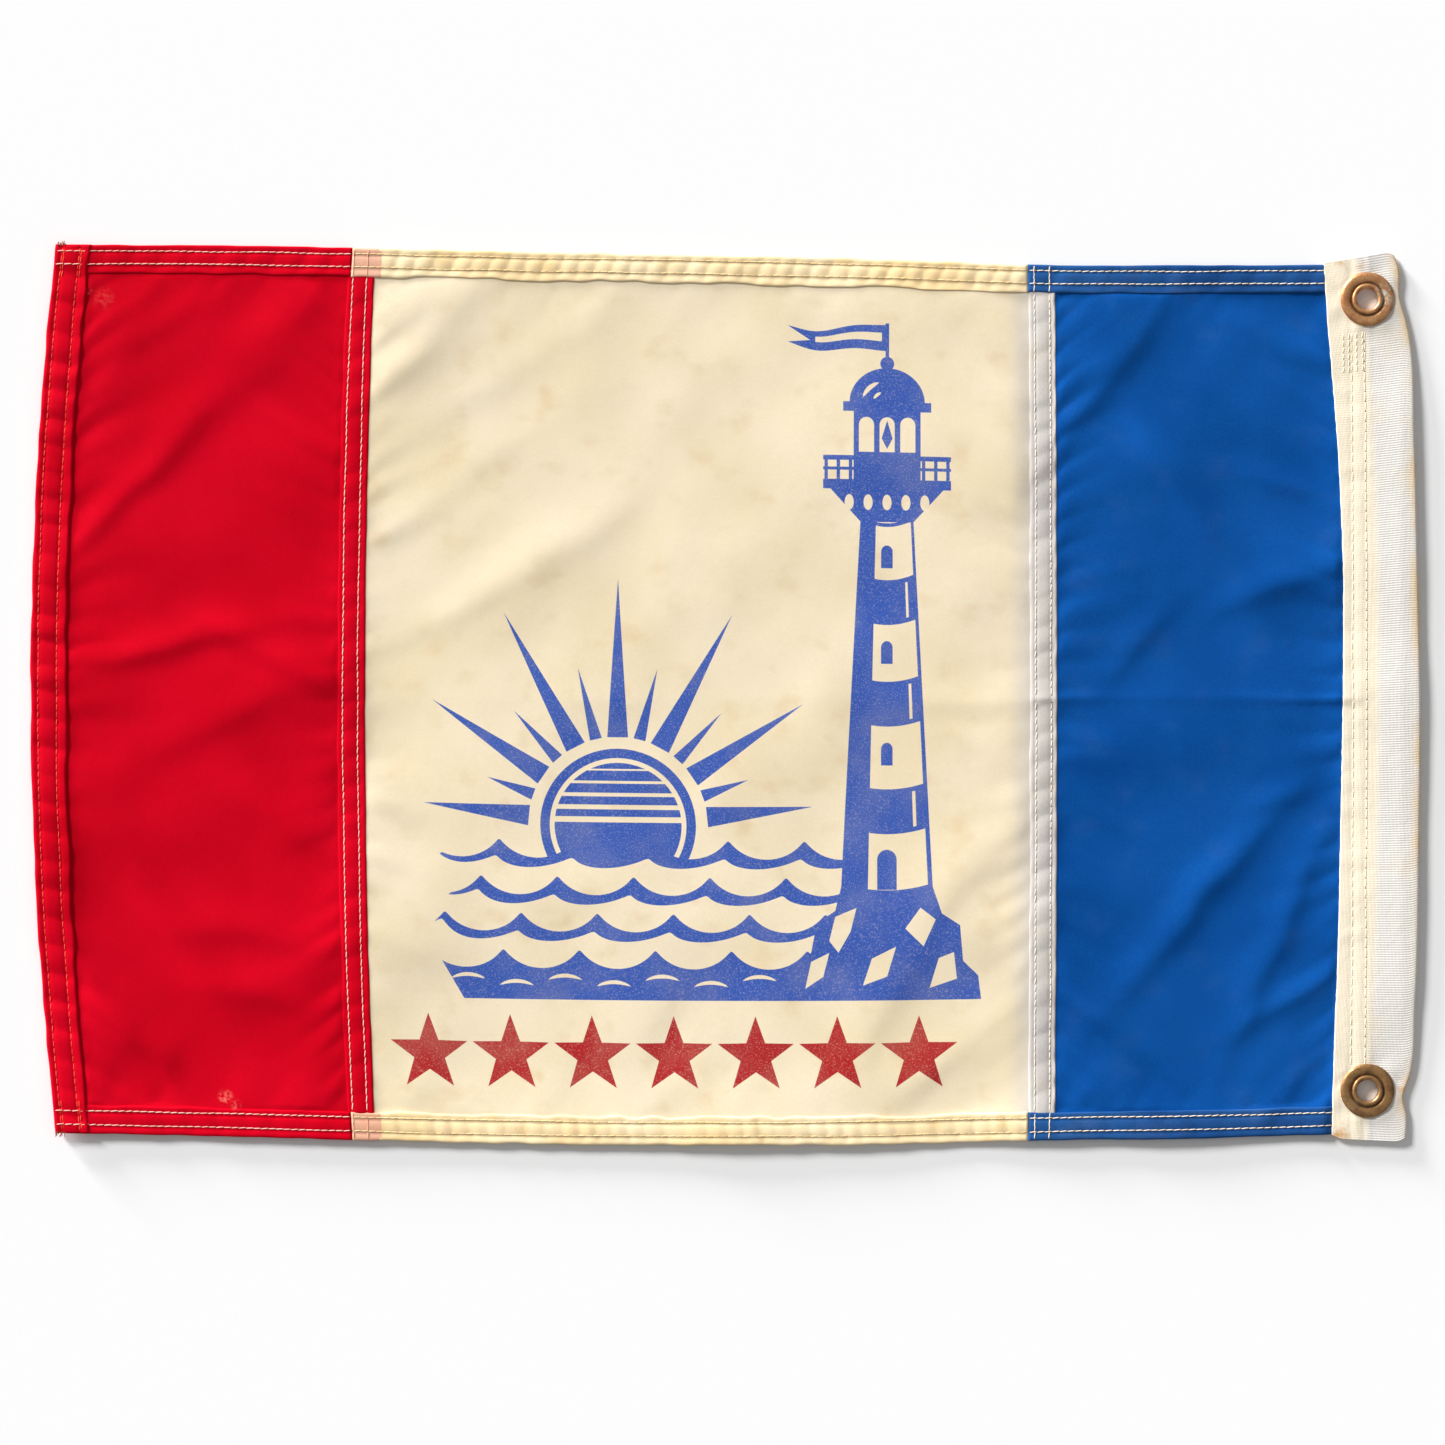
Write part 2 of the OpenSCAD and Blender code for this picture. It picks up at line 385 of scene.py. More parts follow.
@dataclass
class Lie:
    """How the sewn cloth lies: where each cut point is, with the folds and puckers of its three panels."""

    plan: Plan
    top_drop: tuple = (
        (-223, 0.0), (-160, 0.4), (-75, 2.2), (-8, 3.4), (58, 5.0), (101, 6.6), (150, 6.9), (201, 6.7),
    )
    bottom_rise: tuple = (
        (-223, 4.2), (-168, 3.0), (-75, 0.6), (-8, 0.0), (58, 0.5), (101, 1.6), (150, 2.2), (201, 3.6),
    )
    table_gap: float = 0.3
    rest_height: float = 0.95
    crease_y: float = -1.5
    step: float = 1.0
    edge_lift: float = 0.9
    edge_lift_w: float = 20.0
    grid: np.ndarray = field(init=False)
    s_low: float = field(init=False)

    def __post_init__(self) -> None:
        """Works the heights out once on a fine grid, which every piece then reads."""
        self.s_low = self.plan.fly - 3
        s_high = self.plan.heading + 14
        s = np.arange(self.s_low, s_high + self.step, self.step)
        t = np.linspace(-1.02, 1.02, int(2.04 * self.plan.half / self.step))
        self.grid = self.heights(*np.meshgrid(s, t))

    def plane(self, s: np.ndarray, t: np.ndarray) -> tuple[np.ndarray, np.ndarray]:
        """Where cut points lie on the table.

        Args:
            s: Cut coordinate across.
            t: Cut coordinate up.

        Returns:
            x, bowed outward by a parabola in t, and y, shared out evenly between the two edges.
        """
        p = self.plan
        lines = np.array([p.fly, p.red, p.blue, p.heading])
        bows = np.array([-p.fly_bow, -p.red_bow, p.blue_bow, p.heading_bow])
        x = s + np.interp(s, lines, bows) * (1 - t * t)
        top = p.half + 2 - through(x, self.top_drop)
        bottom = -p.half - 2 + through(x, self.bottom_rise)
        return x, bottom + (top - bottom) * (t + 1) / 2

    def heights(self, s: np.ndarray, t: np.ndarray) -> np.ndarray:
        """Height of the single cloth's middle over the table, summed from its folds, puckers and crease."""
        p = self.plan
        x, y = self.plane(s, t)
        single = np.abs(t) < p.from_edge(p.hem_w)
        z = np.full_like(x, self.rest_height)
        panels = (
            (p.fly_hem, p.red - p.seam_w, 11, 0.6),
            (p.red, p.blue - p.seam_w, 22, 0.42),
            (p.blue, p.heading, 33, 0.75),
        )
        for left, right, seed, depth in panels:
            fans = self.seam_puckers(s, y, left, right, seed) + self.hem_puckers(x, t, seed + 60)
            z += np.where((s >= left) & (s <= right) & single, depth * fans, 0)
        for folds, depth in ((RED_FOLDS, 0.66), (WHITE_FOLDS, 0.38), (BLUE_FOLDS, 0.75)):
            for fold in folds:
                z += depth * fold.lift(x, y)
        z += 0.5 * mottle(x / 38 + 9, y / 38 + 9, 3) + 0.22 * mottle(x / 16 + 9, y / 16 + 9, 4)
        z += self.crease(x, y)
        curl = np.exp(-(((1 + t) * p.half / self.edge_lift_w) ** 2))
        z += self.edge_lift * curl * (1.1 + 0.5 * wander(x / 45, 77))
        z = self.table_gap + np.logaddexp(0, 4 * (z - self.table_gap)) / 4
        return self.meet_heading(z, x, y, s)

    def seam_puckers(self, s: np.ndarray, y: np.ndarray, left: float, right: float, seed: int) -> np.ndarray:
        """Puckers that spring from a panel's two upright seams and widen away from them.

        Args:
            s: Cut coordinate across.
            y: Place up the flag.
            left: The s of the left seam.
            right: The s of the right seam.
            seed: Which panel's random curves.

        Returns:
            Each pucker leaves the seam at y0 and leans towards the nearer corner; its height is a fine even
            row of puffs that dies out in 6 mm, a random one in 17 mm and a broad one in 38 mm.
        """
        z = np.zeros_like(y)
        for side, edge, key in ((1, left, seed), (-1, right, seed + 50)):
            d = np.maximum((s - edge) * side, 0)
            y0 = y
            for _ in range(3):
                y0 = y - d / (1 + d / 60) * np.sin(np.clip(y0 / 150, -1, 1) * np.pi / 2)
            beat = y0 + 3 * wander(y0 / 30 + key * 7.3, key)
            z += 0.5 * np.exp(-d / 7) * (0.7 + 0.4 * wander(y0 / 15, key + 1)) * pillow(beat / 9.3)
            z += 0.8 * np.exp(-((d / 17) ** 1.2)) * (1 - np.exp(-d / 3)) * wander(y0 / 8.5, key + 2)
            z += 1.3 * np.exp(-((d / 38) ** 1.5)) * (1 - np.exp(-d / 8)) * wander(y0 / 17, key + 3)
        return z

    def hem_puckers(self, x: np.ndarray, t: np.ndarray, seed: int) -> np.ndarray:
        """Puckers that spring from the top and bottom hems, made like those of the seams but lower."""
        z = np.zeros_like(x)
        for side, key in ((1, seed), (-1, seed + 30)):
            d = np.maximum((1 - t * side) * self.plan.half - self.plan.hem_w, 0)
            x0 = x + 0.56 * d * side
            beat = x0 + 2 * wander(x0 / 25, key + 9)
            z += 0.16 * np.exp(-d / 5) * (0.6 + 0.4 * wander(x0 / 15, key)) * pillow(beat / 8)
            z += 0.5 * np.exp(-((d / 13) ** 1.2)) * (1 - np.exp(-d / 3)) * wander(x0 / 9, key + 2)
            z += 0.75 * np.exp(-((d / 26) ** 1.5)) * (1 - np.exp(-d / 8)) * wander(x0 / 18, key + 3)
        return z

    def crease(self, x: np.ndarray, y: np.ndarray) -> np.ndarray:
        """The sharp line that years of folding in half left, strongest beside the blue panel's seams."""
        off = np.abs(y - self.crease_y - 0.8 * wander(x / 40, 8))
        near = np.exp(-(((x - 110) / 16) ** 2)) + np.exp(-(((x - 206) / 22) ** 2))
        faint = np.where(x > self.plan.red, 0.12, 0.0)
        strength = faint + np.clip((x - 95) / 20, 0, 1) * (0.25 + 0.75 * near)
        return 0.75 * strength * np.exp(-off / 1.8)

    def meet_heading(self, z: np.ndarray, x: np.ndarray, y: np.ndarray, s: np.ndarray) -> np.ndarray:
        """Brings the cloth to the heading's middle over 10 mm and flattens it over the last 2.5 mm."""
        share = ease(np.clip((s - self.plan.heading + 10) / 10, 0, 1))
        held = ease(np.clip((s - self.plan.heading + 1.5) / 2.5, 0, 1))
        level = self.rest_height * (1 - share) + TapeRest().middle(x, y) * share
        return level + (z - self.rest_height) * (1 - held)

    def z(self, s: np.ndarray, t: np.ndarray) -> np.ndarray:
        """Height at any cut point.

        Args:
            s: Cut coordinate across.
            t: Cut coordinate up.

        Returns:
            The Catmull-Rom cubic through the sixteen nearest grid heights.
        """
        rows, columns = self.grid.shape
        i = (np.clip(t, -1.01, 1.01) + 1.02) / 2.04 * (rows - 1)
        j = np.clip((s - self.s_low) / self.step, 1, columns - 3)
        i = np.clip(i, 1, rows - 3)
        i0, j0 = np.floor(i).astype(int), np.floor(j).astype(int)
        weight_i, weight_j = self.cubic(i - i0), self.cubic(j - j0)
        total = np.zeros(np.broadcast(i, j).shape)
        for a in range(4):
            for b in range(4):
                total += weight_i[a] * weight_j[b] * self.grid[i0 + a - 1, j0 + b - 1]
        return total

    @staticmethod
    def cubic(f: np.ndarray) -> list[np.ndarray]:
        """The four Catmull-Rom weights of a fraction."""
        return [
            (-f + 2 * f**2 - f**3) / 2,
            (2 - 5 * f**2 + 3 * f**3) / 2,
            (f + 4 * f**2 - 3 * f**3) / 2,
            (-(f**2) + f**3) / 2,
        ]

    def at(self, s: np.ndarray, t: np.ndarray, lift: float | np.ndarray = 0.0) -> np.ndarray:
        """Points of the cloth's middle, each raised by lift, as an array that ends in x, y, z."""
        s, t = np.broadcast_arrays(s, t)
        x, y = self.plane(s, t)
        return np.stack([x, y, self.z(s, t) + lift], -1)


# ------------------------------------------------------------------------------
# Meshes
# ------------------------------------------------------------------------------


def make_piece(
    name: str,
    points: np.ndarray,
    faces: np.ndarray,
    materials: list[Material],
    uv: np.ndarray | None = None,
    places: np.ndarray | None = None,
) -> Piece:
    """Makes a smooth mesh object at the origin.

    Args:
        name: The piece's name.
        points: Vertices in millimetres, one row each.
        faces: Vertex numbers, three or four a row.
        materials: The piece's materials in order.
        uv: Cut coordinates of each vertex in metres, if its material follows the cloth.
        places: Which material each face wears.

    Returns:
        The linked object.
    """
    mesh = bpy.data.meshes.new(name)
    mesh.vertices.add(len(points))
    mesh.vertices.foreach_set("co", (points * MM).astype(np.float32).ravel())
    sides = faces.shape[1]
    mesh.loops.add(faces.size)
    mesh.loops.foreach_set("vertex_index", faces.astype(np.int32).ravel())
    mesh.polygons.add(len(faces))
    mesh.polygons.foreach_set("loop_start", np.arange(0, faces.size, sides, dtype=np.int32))
    mesh.polygons.foreach_set("use_smooth", np.ones(len(faces), bool))
    if places is not None:
        mesh.polygons.foreach_set("material_index", places.astype(np.int32))
    if uv is not None:
        layer = mesh.uv_layers.new(name="cut")
        layer.data.foreach_set("uv", uv[faces.ravel()].astype(np.float32).ravel())
    mesh.update(calc_edges=True)
    mesh.validate()
    for material in materials:
        mesh.materials.append(material)
    piece = bpy.data.objects.new(name, mesh)
    bpy.context.collection.objects.link(piece)
    log.info("%s: %d vertices, %d faces", name, len(points), len(faces))
    return piece


def slab(top: np.ndarray, bottom: np.ndarray) -> tuple[np.ndarray, np.ndarray]:
    """Closes two grids of the same shape into a thin solid.

    Args:
        top: Points of the upper face, rows by columns by x, y, z; x grows along a row, y from row to row.
        bottom: Points of the lower face, in the same order.

    Returns:
        The vertices and the quads, whose normals all point outward.
    """
    rows, columns = top.shape[:2]
    number = np.arange(rows * columns).reshape(rows, columns)
    below = number + rows * columns
    a, b, c, d = number[:-1, :-1], number[:-1, 1:], number[1:, 1:], number[1:, :-1]
    upper = np.stack([a, b, c, d], -1).reshape(-1, 4)
    lower = np.stack([a, d, c, b], -1).reshape(-1, 4) + rows * columns
    walls = []
    for line, under, flip in (
        (number[:, 0], below[:, 0], False),
        (number[:, -1], below[:, -1], True),
        (number[0], below[0], True),
        (number[-1], below[-1], False),
    ):
        wall = np.stack([line[:-1], line[1:], under[1:], under[:-1]], -1)
        walls.append(wall[:, ::-1] if flip else wall)
    return np.concatenate([top.reshape(-1, 3), bottom.reshape(-1, 3)]), np.concatenate([upper, lower, *walls])


def twice(values: np.ndarray) -> np.ndarray:
    """A grid's values as rows, once for each face of a slab."""
    rows = values.reshape(-1, values.shape[-1])
    return np.concatenate([rows, rows])


def cut_uv(s: np.ndarray, t: np.ndarray, plan: Plan) -> np.ndarray:
    """Cut coordinates in metres, which the weave follows."""
    return np.stack([s, t * plan.half], -1) * MM


def spaced(low: float, high: float, step: float) -> np.ndarray:
    """Even places from low to high, about step apart."""
    return np.linspace(low, high, max(int(round((high - low) / step)), 1) + 1)


# ------------------------------------------------------------------------------
# Materials
# ------------------------------------------------------------------------------


def srgb(red: int, green: int, blue: int) -> tuple[float, float, float, float]:
    """A display colour from 0 to 255 as the linear colour that shaders take."""
    linear = [((c / 255 + 0.055) / 1.055) ** 2.4 if c > 10 else c / 255 / 12.92 for c in (red, green, blue)]
    return (*linear, 1.0)


class Nodes:
    """Short names for building one material's nodes."""

    def __init__(self, name: str) -> None:
        """Starts a material with a Principled shader."""
        self.material = bpy.data.materials.new(name)
        self.material.use_nodes = True
        self.tree = self.material.node_tree
        self.shader = self.tree.nodes["Principled BSDF"]

    def feed(self, socket: Socket, value: object) -> None:
        """Links a socket to another or sets its own value."""
        if isinstance(value, Socket):
            self.tree.links.new(value, socket)
        else:
            socket.default_value = value

    def set(self, **values: object) -> None:
        """Feeds the shader's sockets; an underscore in a name stands for a space."""
        for name, value in values.items():
            self.feed(self.shader.inputs[name.replace("_", " ")], value)

    def place(self, output: str) -> Socket:
        """The Object or UV coordinates."""
        return self.tree.nodes.new("ShaderNodeTexCoord").outputs[output]

    def stretched(self, vector: Socket, scale: tuple[float, float, float]) -> Socket:
        """Coordinates scaled each way."""
        node = self.tree.nodes.new("ShaderNodeMapping")
        self.feed(node.inputs["Vector"], vector)
        node.inputs["Scale"].default_value = scale
        return node.outputs["Vector"]

    def noise(self, vector: Socket, size: float, detail: float = 2.0) -> Socket:
        """Noise between 0 and 1 whose features are about size metres across."""
        node = self.tree.nodes.new("ShaderNodeTexNoise")
        self.feed(node.inputs["Vector"], vector)
        node.inputs["Scale"].default_value = 1 / size
        node.inputs["Detail"].default_value = detail
        return node.outputs["Fac"]

    def math(self, kind: str, a: object, b: object = 0.0, c: object = 0.0) -> Socket:
        """One step of arithmetic."""
        node = self.tree.nodes.new("ShaderNodeMath")
        node.operation = kind
        for socket, value in zip(node.inputs, (a, b, c)):
            self.feed(socket, value)
        return node.outputs[0]

    def times(self, *values: object) -> Socket:
        """The product of two or more values."""
        product = values[0]
        for value in values[1:]:
            product = self.math("MULTIPLY", product, value)
        return product

    def wave(self, value: object, pitch: float) -> Socket:
        """A sine that repeats every pitch."""
        return self.math("SINE", self.times(value, 2 * math.pi / pitch))

    def split(self, vector: Socket) -> list[Socket]:
        """The x, y and z of a vector."""
        node = self.tree.nodes.new("ShaderNodeSeparateXYZ")
        self.feed(node.inputs[0], vector)
        return list(node.outputs)

    def span(
        self, value: object, low: float, high: float, to_low: float = 0.0, to_high: float = 1.0
    ) -> Socket:
        """Smoothly maps low..high to to_low..to_high, and holds it level outside."""
        node = self.tree.nodes.new("ShaderNodeMapRange")
        node.interpolation_type = "SMOOTHSTEP"
        names = ("Value", "From Min", "From Max", "To Min", "To Max")
        for name, number in zip(names, (value, low, high, to_low, to_high)):
            self.feed(node.inputs[name], number)
        return node.outputs[0]

    def mix(self, share: object, a: object, b: object, kind: str = "MIX") -> Socket:
        """Colour a towards colour b by share."""
        node = self.tree.nodes.new("ShaderNodeMix")
        node.data_type = "RGBA"
        node.blend_type = kind
        self.feed(node.inputs["Factor"], share)
        self.feed(node.inputs[6], a)
        self.feed(node.inputs[7], b)
        return node.outputs[2]

    def weave(self, pitch: float) -> Socket:
        """Plain weave: a sine across times a sine up the cut, so that crowns alternate like a chessboard."""
        x, y, _ = self.split(self.place("UV"))
        return self.times(self.wave(x, 2 * pitch), self.wave(y, 2 * pitch))

    def distance(self, x: float, y: float) -> Socket:
        """Distance in metres from a place on the flag that is given in millimetres."""
        px, py, _ = self.split(self.place("Object"))
        dx = self.math("SUBTRACT", px, x * MM)
        dy = self.math("SUBTRACT", py, y * MM)
        squared = self.math("ADD", self.times(dx, dx), self.times(dy, dy))
        return self.math("SQRT", squared)

    def near(self, x: float, y: float, radius: float) -> Socket:
        """1 at a place on the flag, given in millimetres, falling smoothly to 0 at radius."""
        return self.span(self.distance(x, y), 0.0, radius * MM, 1.0, 0.0)

    def bump(self, height: Socket, depth: float, strength: float = 1.0, after: Socket | None = None):
        """A normal that reads height as depth metres."""
        node = self.tree.nodes.new("ShaderNodeBump")
        node.inputs["Strength"].default_value = strength
        node.inputs["Distance"].default_value = depth
        self.feed(node.inputs["Height"], height)
        if after is not None:
            self.feed(node.inputs["Normal"], after)
        return node.outputs[0]


@dataclass(frozen=True)
class Nylon:
    """Fine flag nylon: its dyed colour, worn in patches, with stains and chafe marks, and a plain weave."""

    name: str
    colour: tuple
    worn: tuple
    stain: tuple
    stained: float = 0.3
    weave_pitch: float = 0.00034
    rough: float = 0.7
    gloss: float = 0.03
    marks: tuple = ()
    shaded_x: float = 0.0

    def base(self, nodes: Nodes) -> Socket:
        """The dyed colour, worn in broad patches and stained in small ones."""
        place = nodes.place("Object")
        patches = nodes.span(nodes.noise(place, 0.045, 3), 0.35, 0.7)
        colour = nodes.mix(patches, self.colour, self.worn)
        spots = nodes.span(nodes.noise(nodes.stretched(place, (1, 1.2, 1)), 0.014, 5), 0.52, 0.78)
        colour = nodes.mix(nodes.times(spots, self.stained), colour, self.stain)
        for x, y, radius, strength in self.marks:
            ragged = nodes.span(nodes.noise(place, 0.0012, 3), 0.4, 0.62)
            share = nodes.times(nodes.near(x, y, radius), ragged, strength)
            colour = nodes.mix(share, colour, self.stain)
        if self.shaded_x:
            across = nodes.split(nodes.place("UV"))[0]
            shade = nodes.span(across, self.shaded_x * MM - 0.009, self.shaded_x * MM, 0.0, 0.45)
            colour = nodes.mix(shade, colour, srgb(190, 190, 200))
        grain = nodes.span(nodes.noise(place, 0.0008, 2), 0.3, 0.7, 0.0, 0.16)
        return nodes.mix(grain, colour, self.worn, "MULTIPLY")

    def finish(self, nodes: Nodes, colour: Socket) -> Material:
        """Sets the colour, the weave's relief and the roughness."""
        place = nodes.place("Object")
        relief = nodes.bump(nodes.weave(self.weave_pitch), 0.00005, 0.5)
        crinkle = nodes.bump(nodes.noise(place, 0.004, 4), 0.0003, 0.24, relief)
        nodes.set(Base_Color=colour, Normal=crinkle)
        rough = nodes.span(nodes.noise(place, 0.02, 3), 0.3, 0.7, self.rough - 0.06, self.rough + 0.08)
        nodes.set(Roughness=rough, Specular_IOR_Level=self.gloss)
        return nodes.material

    def build(self) -> Material:
        """The plain cloth."""
        nodes = Nodes(self.name)
        return self.finish(nodes, self.base(nodes))

    def printed(self, name: str, ink: tuple, strength: float = 0.93) -> Material:
        """The cloth under ink that has soaked through from the front.

        Args:
            name: The material's name.
            ink: The ink's colour.
            strength: How much of the cloth the ink hides.

        Returns:
            A material whose threads show as fine pale specks through the ink.
        """
        nodes = Nodes(name)
        place = nodes.place("Object")
        specks = nodes.span(nodes.noise(place, 0.0005, 3), 0.5, 0.75)
        thin = nodes.span(nodes.noise(place, 0.018, 3), 0.4, 0.75)
        cover = nodes.math("SUBTRACT", strength, nodes.times(specks, 0.24))
        cover = nodes.math("SUBTRACT", cover, nodes.times(thin, 0.07))
        return self.finish(nodes, nodes.mix(cover, self.base(nodes), ink))


@dataclass(frozen=True)
class Canvas:
    """Ribbed cotton canvas, yellowed at its edges and rust-stained round the grommets; its single ply is
    greyed, partly for its own tone and partly with painted shade.
    """

    # The single ply's colour is greyer than the doubled part's: partly the canvas's own tone, partly painted
    # shade on the heading's outer part.
    colour: tuple = srgb(230, 227, 221)
    doubled: tuple = srgb(250, 238, 214)
    aged: tuple = srgb(234, 220, 196)
    rust: tuple = srgb(208, 152, 88)
    tan: tuple = srgb(232, 200, 150)
    rib_pitch: float = 0.00078
    cross_pitch: float = 0.00045

    def build(self, grommets: list[np.ndarray]) -> Material:
        """Makes the material.

        Args:
            grommets: The grommets' centres, in millimetres.

        Returns:
            Ribs across the heading as a sine up the cut, with blotches of age and rust.
        """
        nodes = Nodes("heading_canvas")
        place = nodes.place("Object")
        across, up, _ = nodes.split(nodes.place("UV"))
        wobble = nodes.times(nodes.noise(place, 0.006, 2), 0.00005)
        rib = nodes.wave(nodes.math("ADD", up, wobble), self.rib_pitch)
        cross = nodes.wave(across, self.cross_pitch)
        # Past the doubled part the canvas takes the single ply's colour, which carries painted shade.
        colour = nodes.mix(nodes.span(across, 0.010, 0.014), self.doubled, self.colour)
        aging = nodes.span(nodes.noise(place, 0.016, 4), 0.5, 0.8, 0.0, 0.6)
        colour = nodes.mix(aging, colour, self.aged)
        rust = nodes.span(nodes.noise(place, 0.004, 4), 0.42, 0.66)
        worn = nodes.span(nodes.noise(place, 0.022, 3), 0.35, 0.7, 0.1, 0.8)
        edge = nodes.times(nodes.span(across, 0.0215, 0.0258), worn)
        colour = nodes.mix(edge, colour, self.tan)
        low, high = box_mm("heading_tape")
        marks = [(g[0], g[1], 14, 0.3) for g in grommets]
        marks += [
            (205, 143, 3.2, 0.9),
            (211, 144.3, 3.4, 0.9),
            (high[0] - 7, high[1] - 3, 6, 0.5),
            (204, -146, 6, 0.9),
            (high[0] - 5, low[1] + 17, 6, 1.0),
        ]
        for px, py, radius, strength in marks:
            share = nodes.times(nodes.near(px, py, radius), rust, strength)
            colour = nodes.mix(share, colour, self.rust)
        single = nodes.span(across, 0.010, 0.014, 0.3, 1.0)
        rib = nodes.times(rib, single)
        # The ribs' valleys are tinted a little darker with the rust colour: painted shade in the valleys.
        colour = nodes.mix(nodes.span(rib, -1, 1, 0.05, 0.0), colour, self.rust, "MULTIPLY")
        relief = nodes.bump(nodes.math("ADD", rib, nodes.times(cross, 0.35)), 0.00005, 0.5)
        nodes.set(Base_Color=colour, Normal=nodes.bump(nodes.noise(place, 0.006, 3), 0.0004, 0.4, relief))
        nodes.set(Roughness=0.9, Specular_IOR_Level=0.03)
        return nodes.material


@dataclass(frozen=True)
class Thread:
    """Spun sewing thread with its twist."""

    name: str
    colour: tuple
    shade: tuple
    twist_pitch: float = 0.00035

    def build(self) -> Material:
        """Slanting twist lines along the stitch, over a slightly uneven colour."""
        nodes = Nodes(self.name)
        place = nodes.place("Object")
        x, y, _ = nodes.split(place)
        slant = nodes.math("ADD", x, y)
        twist = nodes.wave(slant, self.twist_pitch)
        colour = nodes.mix(nodes.span(nodes.noise(place, 0.006, 2), 0.35, 0.7), self.colour, self.shade)
        nodes.set(Base_Color=colour, Normal=nodes.bump(twist, 0.00004, 0.5))
        nodes.set(Roughness=0.7, Specular_IOR_Level=0.08)
        return nodes.material


@dataclass(frozen=True)
class Brass:
    """Tarnished sheet brass: brown patina over the metal, with pale corrosion on one side."""

    name: str
    metal: tuple
    patina: tuple
    corrosion: tuple
    centre: tuple
    corroded_at: tuple
    corroded: float

    def build(self) -> Material:
        """Blotches of patina, dark pits, a patch of grey-green corrosion, and a dark ring of painted shade in
        the groove round the lip.
        """
        nodes = Nodes(self.name)
        place = nodes.place("Object")
        blotch = nodes.span(nodes.noise(place, 0.0035, 5), 0.35, 0.68)
        colour = nodes.mix(blotch, self.metal, self.patina)
        pits = nodes.span(nodes.noise(place, 0.0006, 3), 0.58, 0.72)
        colour = nodes.mix(nodes.times(pits, 0.6), colour, srgb(60, 38, 25))
        # A dark ring in the groove between the lip and the washer: painted shade.
        painted_groove_shade = nodes.math("ABSOLUTE", nodes.math("SUBTRACT", nodes.distance(*self.centre), 0.0055))
        colour = nodes.mix(nodes.span(painted_groove_shade, 0.0, 0.0007, 0.75, 0.0), colour, srgb(48, 32, 24))
        crust = nodes.span(nodes.noise(place, 0.0014, 4), 0.42, 0.6)
        patch = nodes.times(nodes.near(*self.corroded_at, 6.5), crust, self.corroded)
        nodes.set(Base_Color=nodes.mix(patch, colour, self.corrosion))
        nodes.set(Metallic=nodes.math("SUBTRACT", 0.75, nodes.times(patch, 0.7)))
        nodes.set(Roughness=nodes.span(blotch, 0, 1, 0.38, 0.6))
        nodes.set(Normal=nodes.bump(nodes.math("ADD", pits, crust), 0.00006, 0.35))
        return nodes.material


class Wardrobe:
    """Every finish of the flag, built once."""

    def __init__(self) -> None:
        """Builds the cloths, the prints and the threads."""
        tan = srgb(215, 180, 125)
        white = Nylon("white_nylon", srgb(248, 233, 204), srgb(242, 225, 190), tan, 0.35, shaded_x=101.0)
        hem = Nylon("white_hem_nylon", srgb(255, 235, 194), srgb(250, 221, 168), srgb(225, 180, 105), 0.5)
        self.white = white.build()
        self.white_hem = hem.build()
        self.blue_print = white.printed("blue_print", srgb(36, 84, 178), 0.97)
        self.red_print = white.printed("red_print", srgb(176, 18, 32), 0.98)
        pale = srgb(240, 120, 110)
        chafes = (
            (-212, 134.5, 1.6, 0.8),
            (-207, 132, 5, 0.2),
            (-166.5, -134, 3.4, 1.0),
            (-163, -136.5, 2.4, 0.9),
        )
        self.red = Nylon("red_nylon", srgb(216, 2, 33), srgb(204, 0, 27), pale, 0.0, marks=chafes).build()
        self.blue = Nylon("blue_nylon", srgb(14, 86, 166), srgb(8, 76, 152), srgb(60, 100, 165), 0.15).build()
        blue_hem = Nylon("blue_hem_nylon", srgb(40, 88, 148), srgb(28, 72, 132), srgb(84, 110, 156), 0.3)
        self.blue_hem = blue_hem.build()
        over_blue = Nylon(
            "white_over_blue", srgb(214, 208, 201), srgb(202, 196, 193), srgb(218, 202, 172), 0.3
        )
        over_red = Nylon("white_over_red", srgb(240, 192, 165), srgb(232, 176, 148), srgb(225, 170, 130), 0.3)
        self.white_over_blue = over_blue.build()
        self.white_over_red = over_red.build()
        self.seam_thread = Thread("cream_thread_on_seam", srgb(240, 230, 218), srgb(232, 220, 204)).build()
        self.patch_thread = Thread("patch_thread", srgb(236, 180, 150), srgb(222, 160, 130)).build()
        self.cream_thread = Thread("cream_thread", srgb(250, 236, 218), srgb(240, 220, 190)).build()
        self.pink_thread = Thread("cream_thread_on_red", srgb(255, 205, 190), srgb(250, 180, 165)).build()
        self.yellow_thread = Thread("cream_thread_on_white", srgb(248, 226, 176), srgb(238, 208, 150)).build()
        canvas_thread = Thread("cream_thread_on_canvas", srgb(250, 238, 208), srgb(244, 226, 186))
        self.canvas_thread = canvas_thread.build()
        self.red_thread = Thread("red_thread", srgb(248, 88, 66), srgb(234, 66, 54)).build()
        self.frayed = Thread("frayed_ends", srgb(176, 70, 50), srgb(150, 80, 60)).build()
        # The needle holes' brown and the needle dimples' tan are painted shade in the holes and dimples.
        self.hole = Thread("needle_hole_shade", srgb(120, 95, 70), srgb(90, 70, 55)).build()
        self.dimple_shade = Thread("needle_dimple_shade", srgb(222, 190, 138), srgb(205, 168, 112)).build()


# ------------------------------------------------------------------------------
# Hems, seams and stitches
# ------------------------------------------------------------------------------


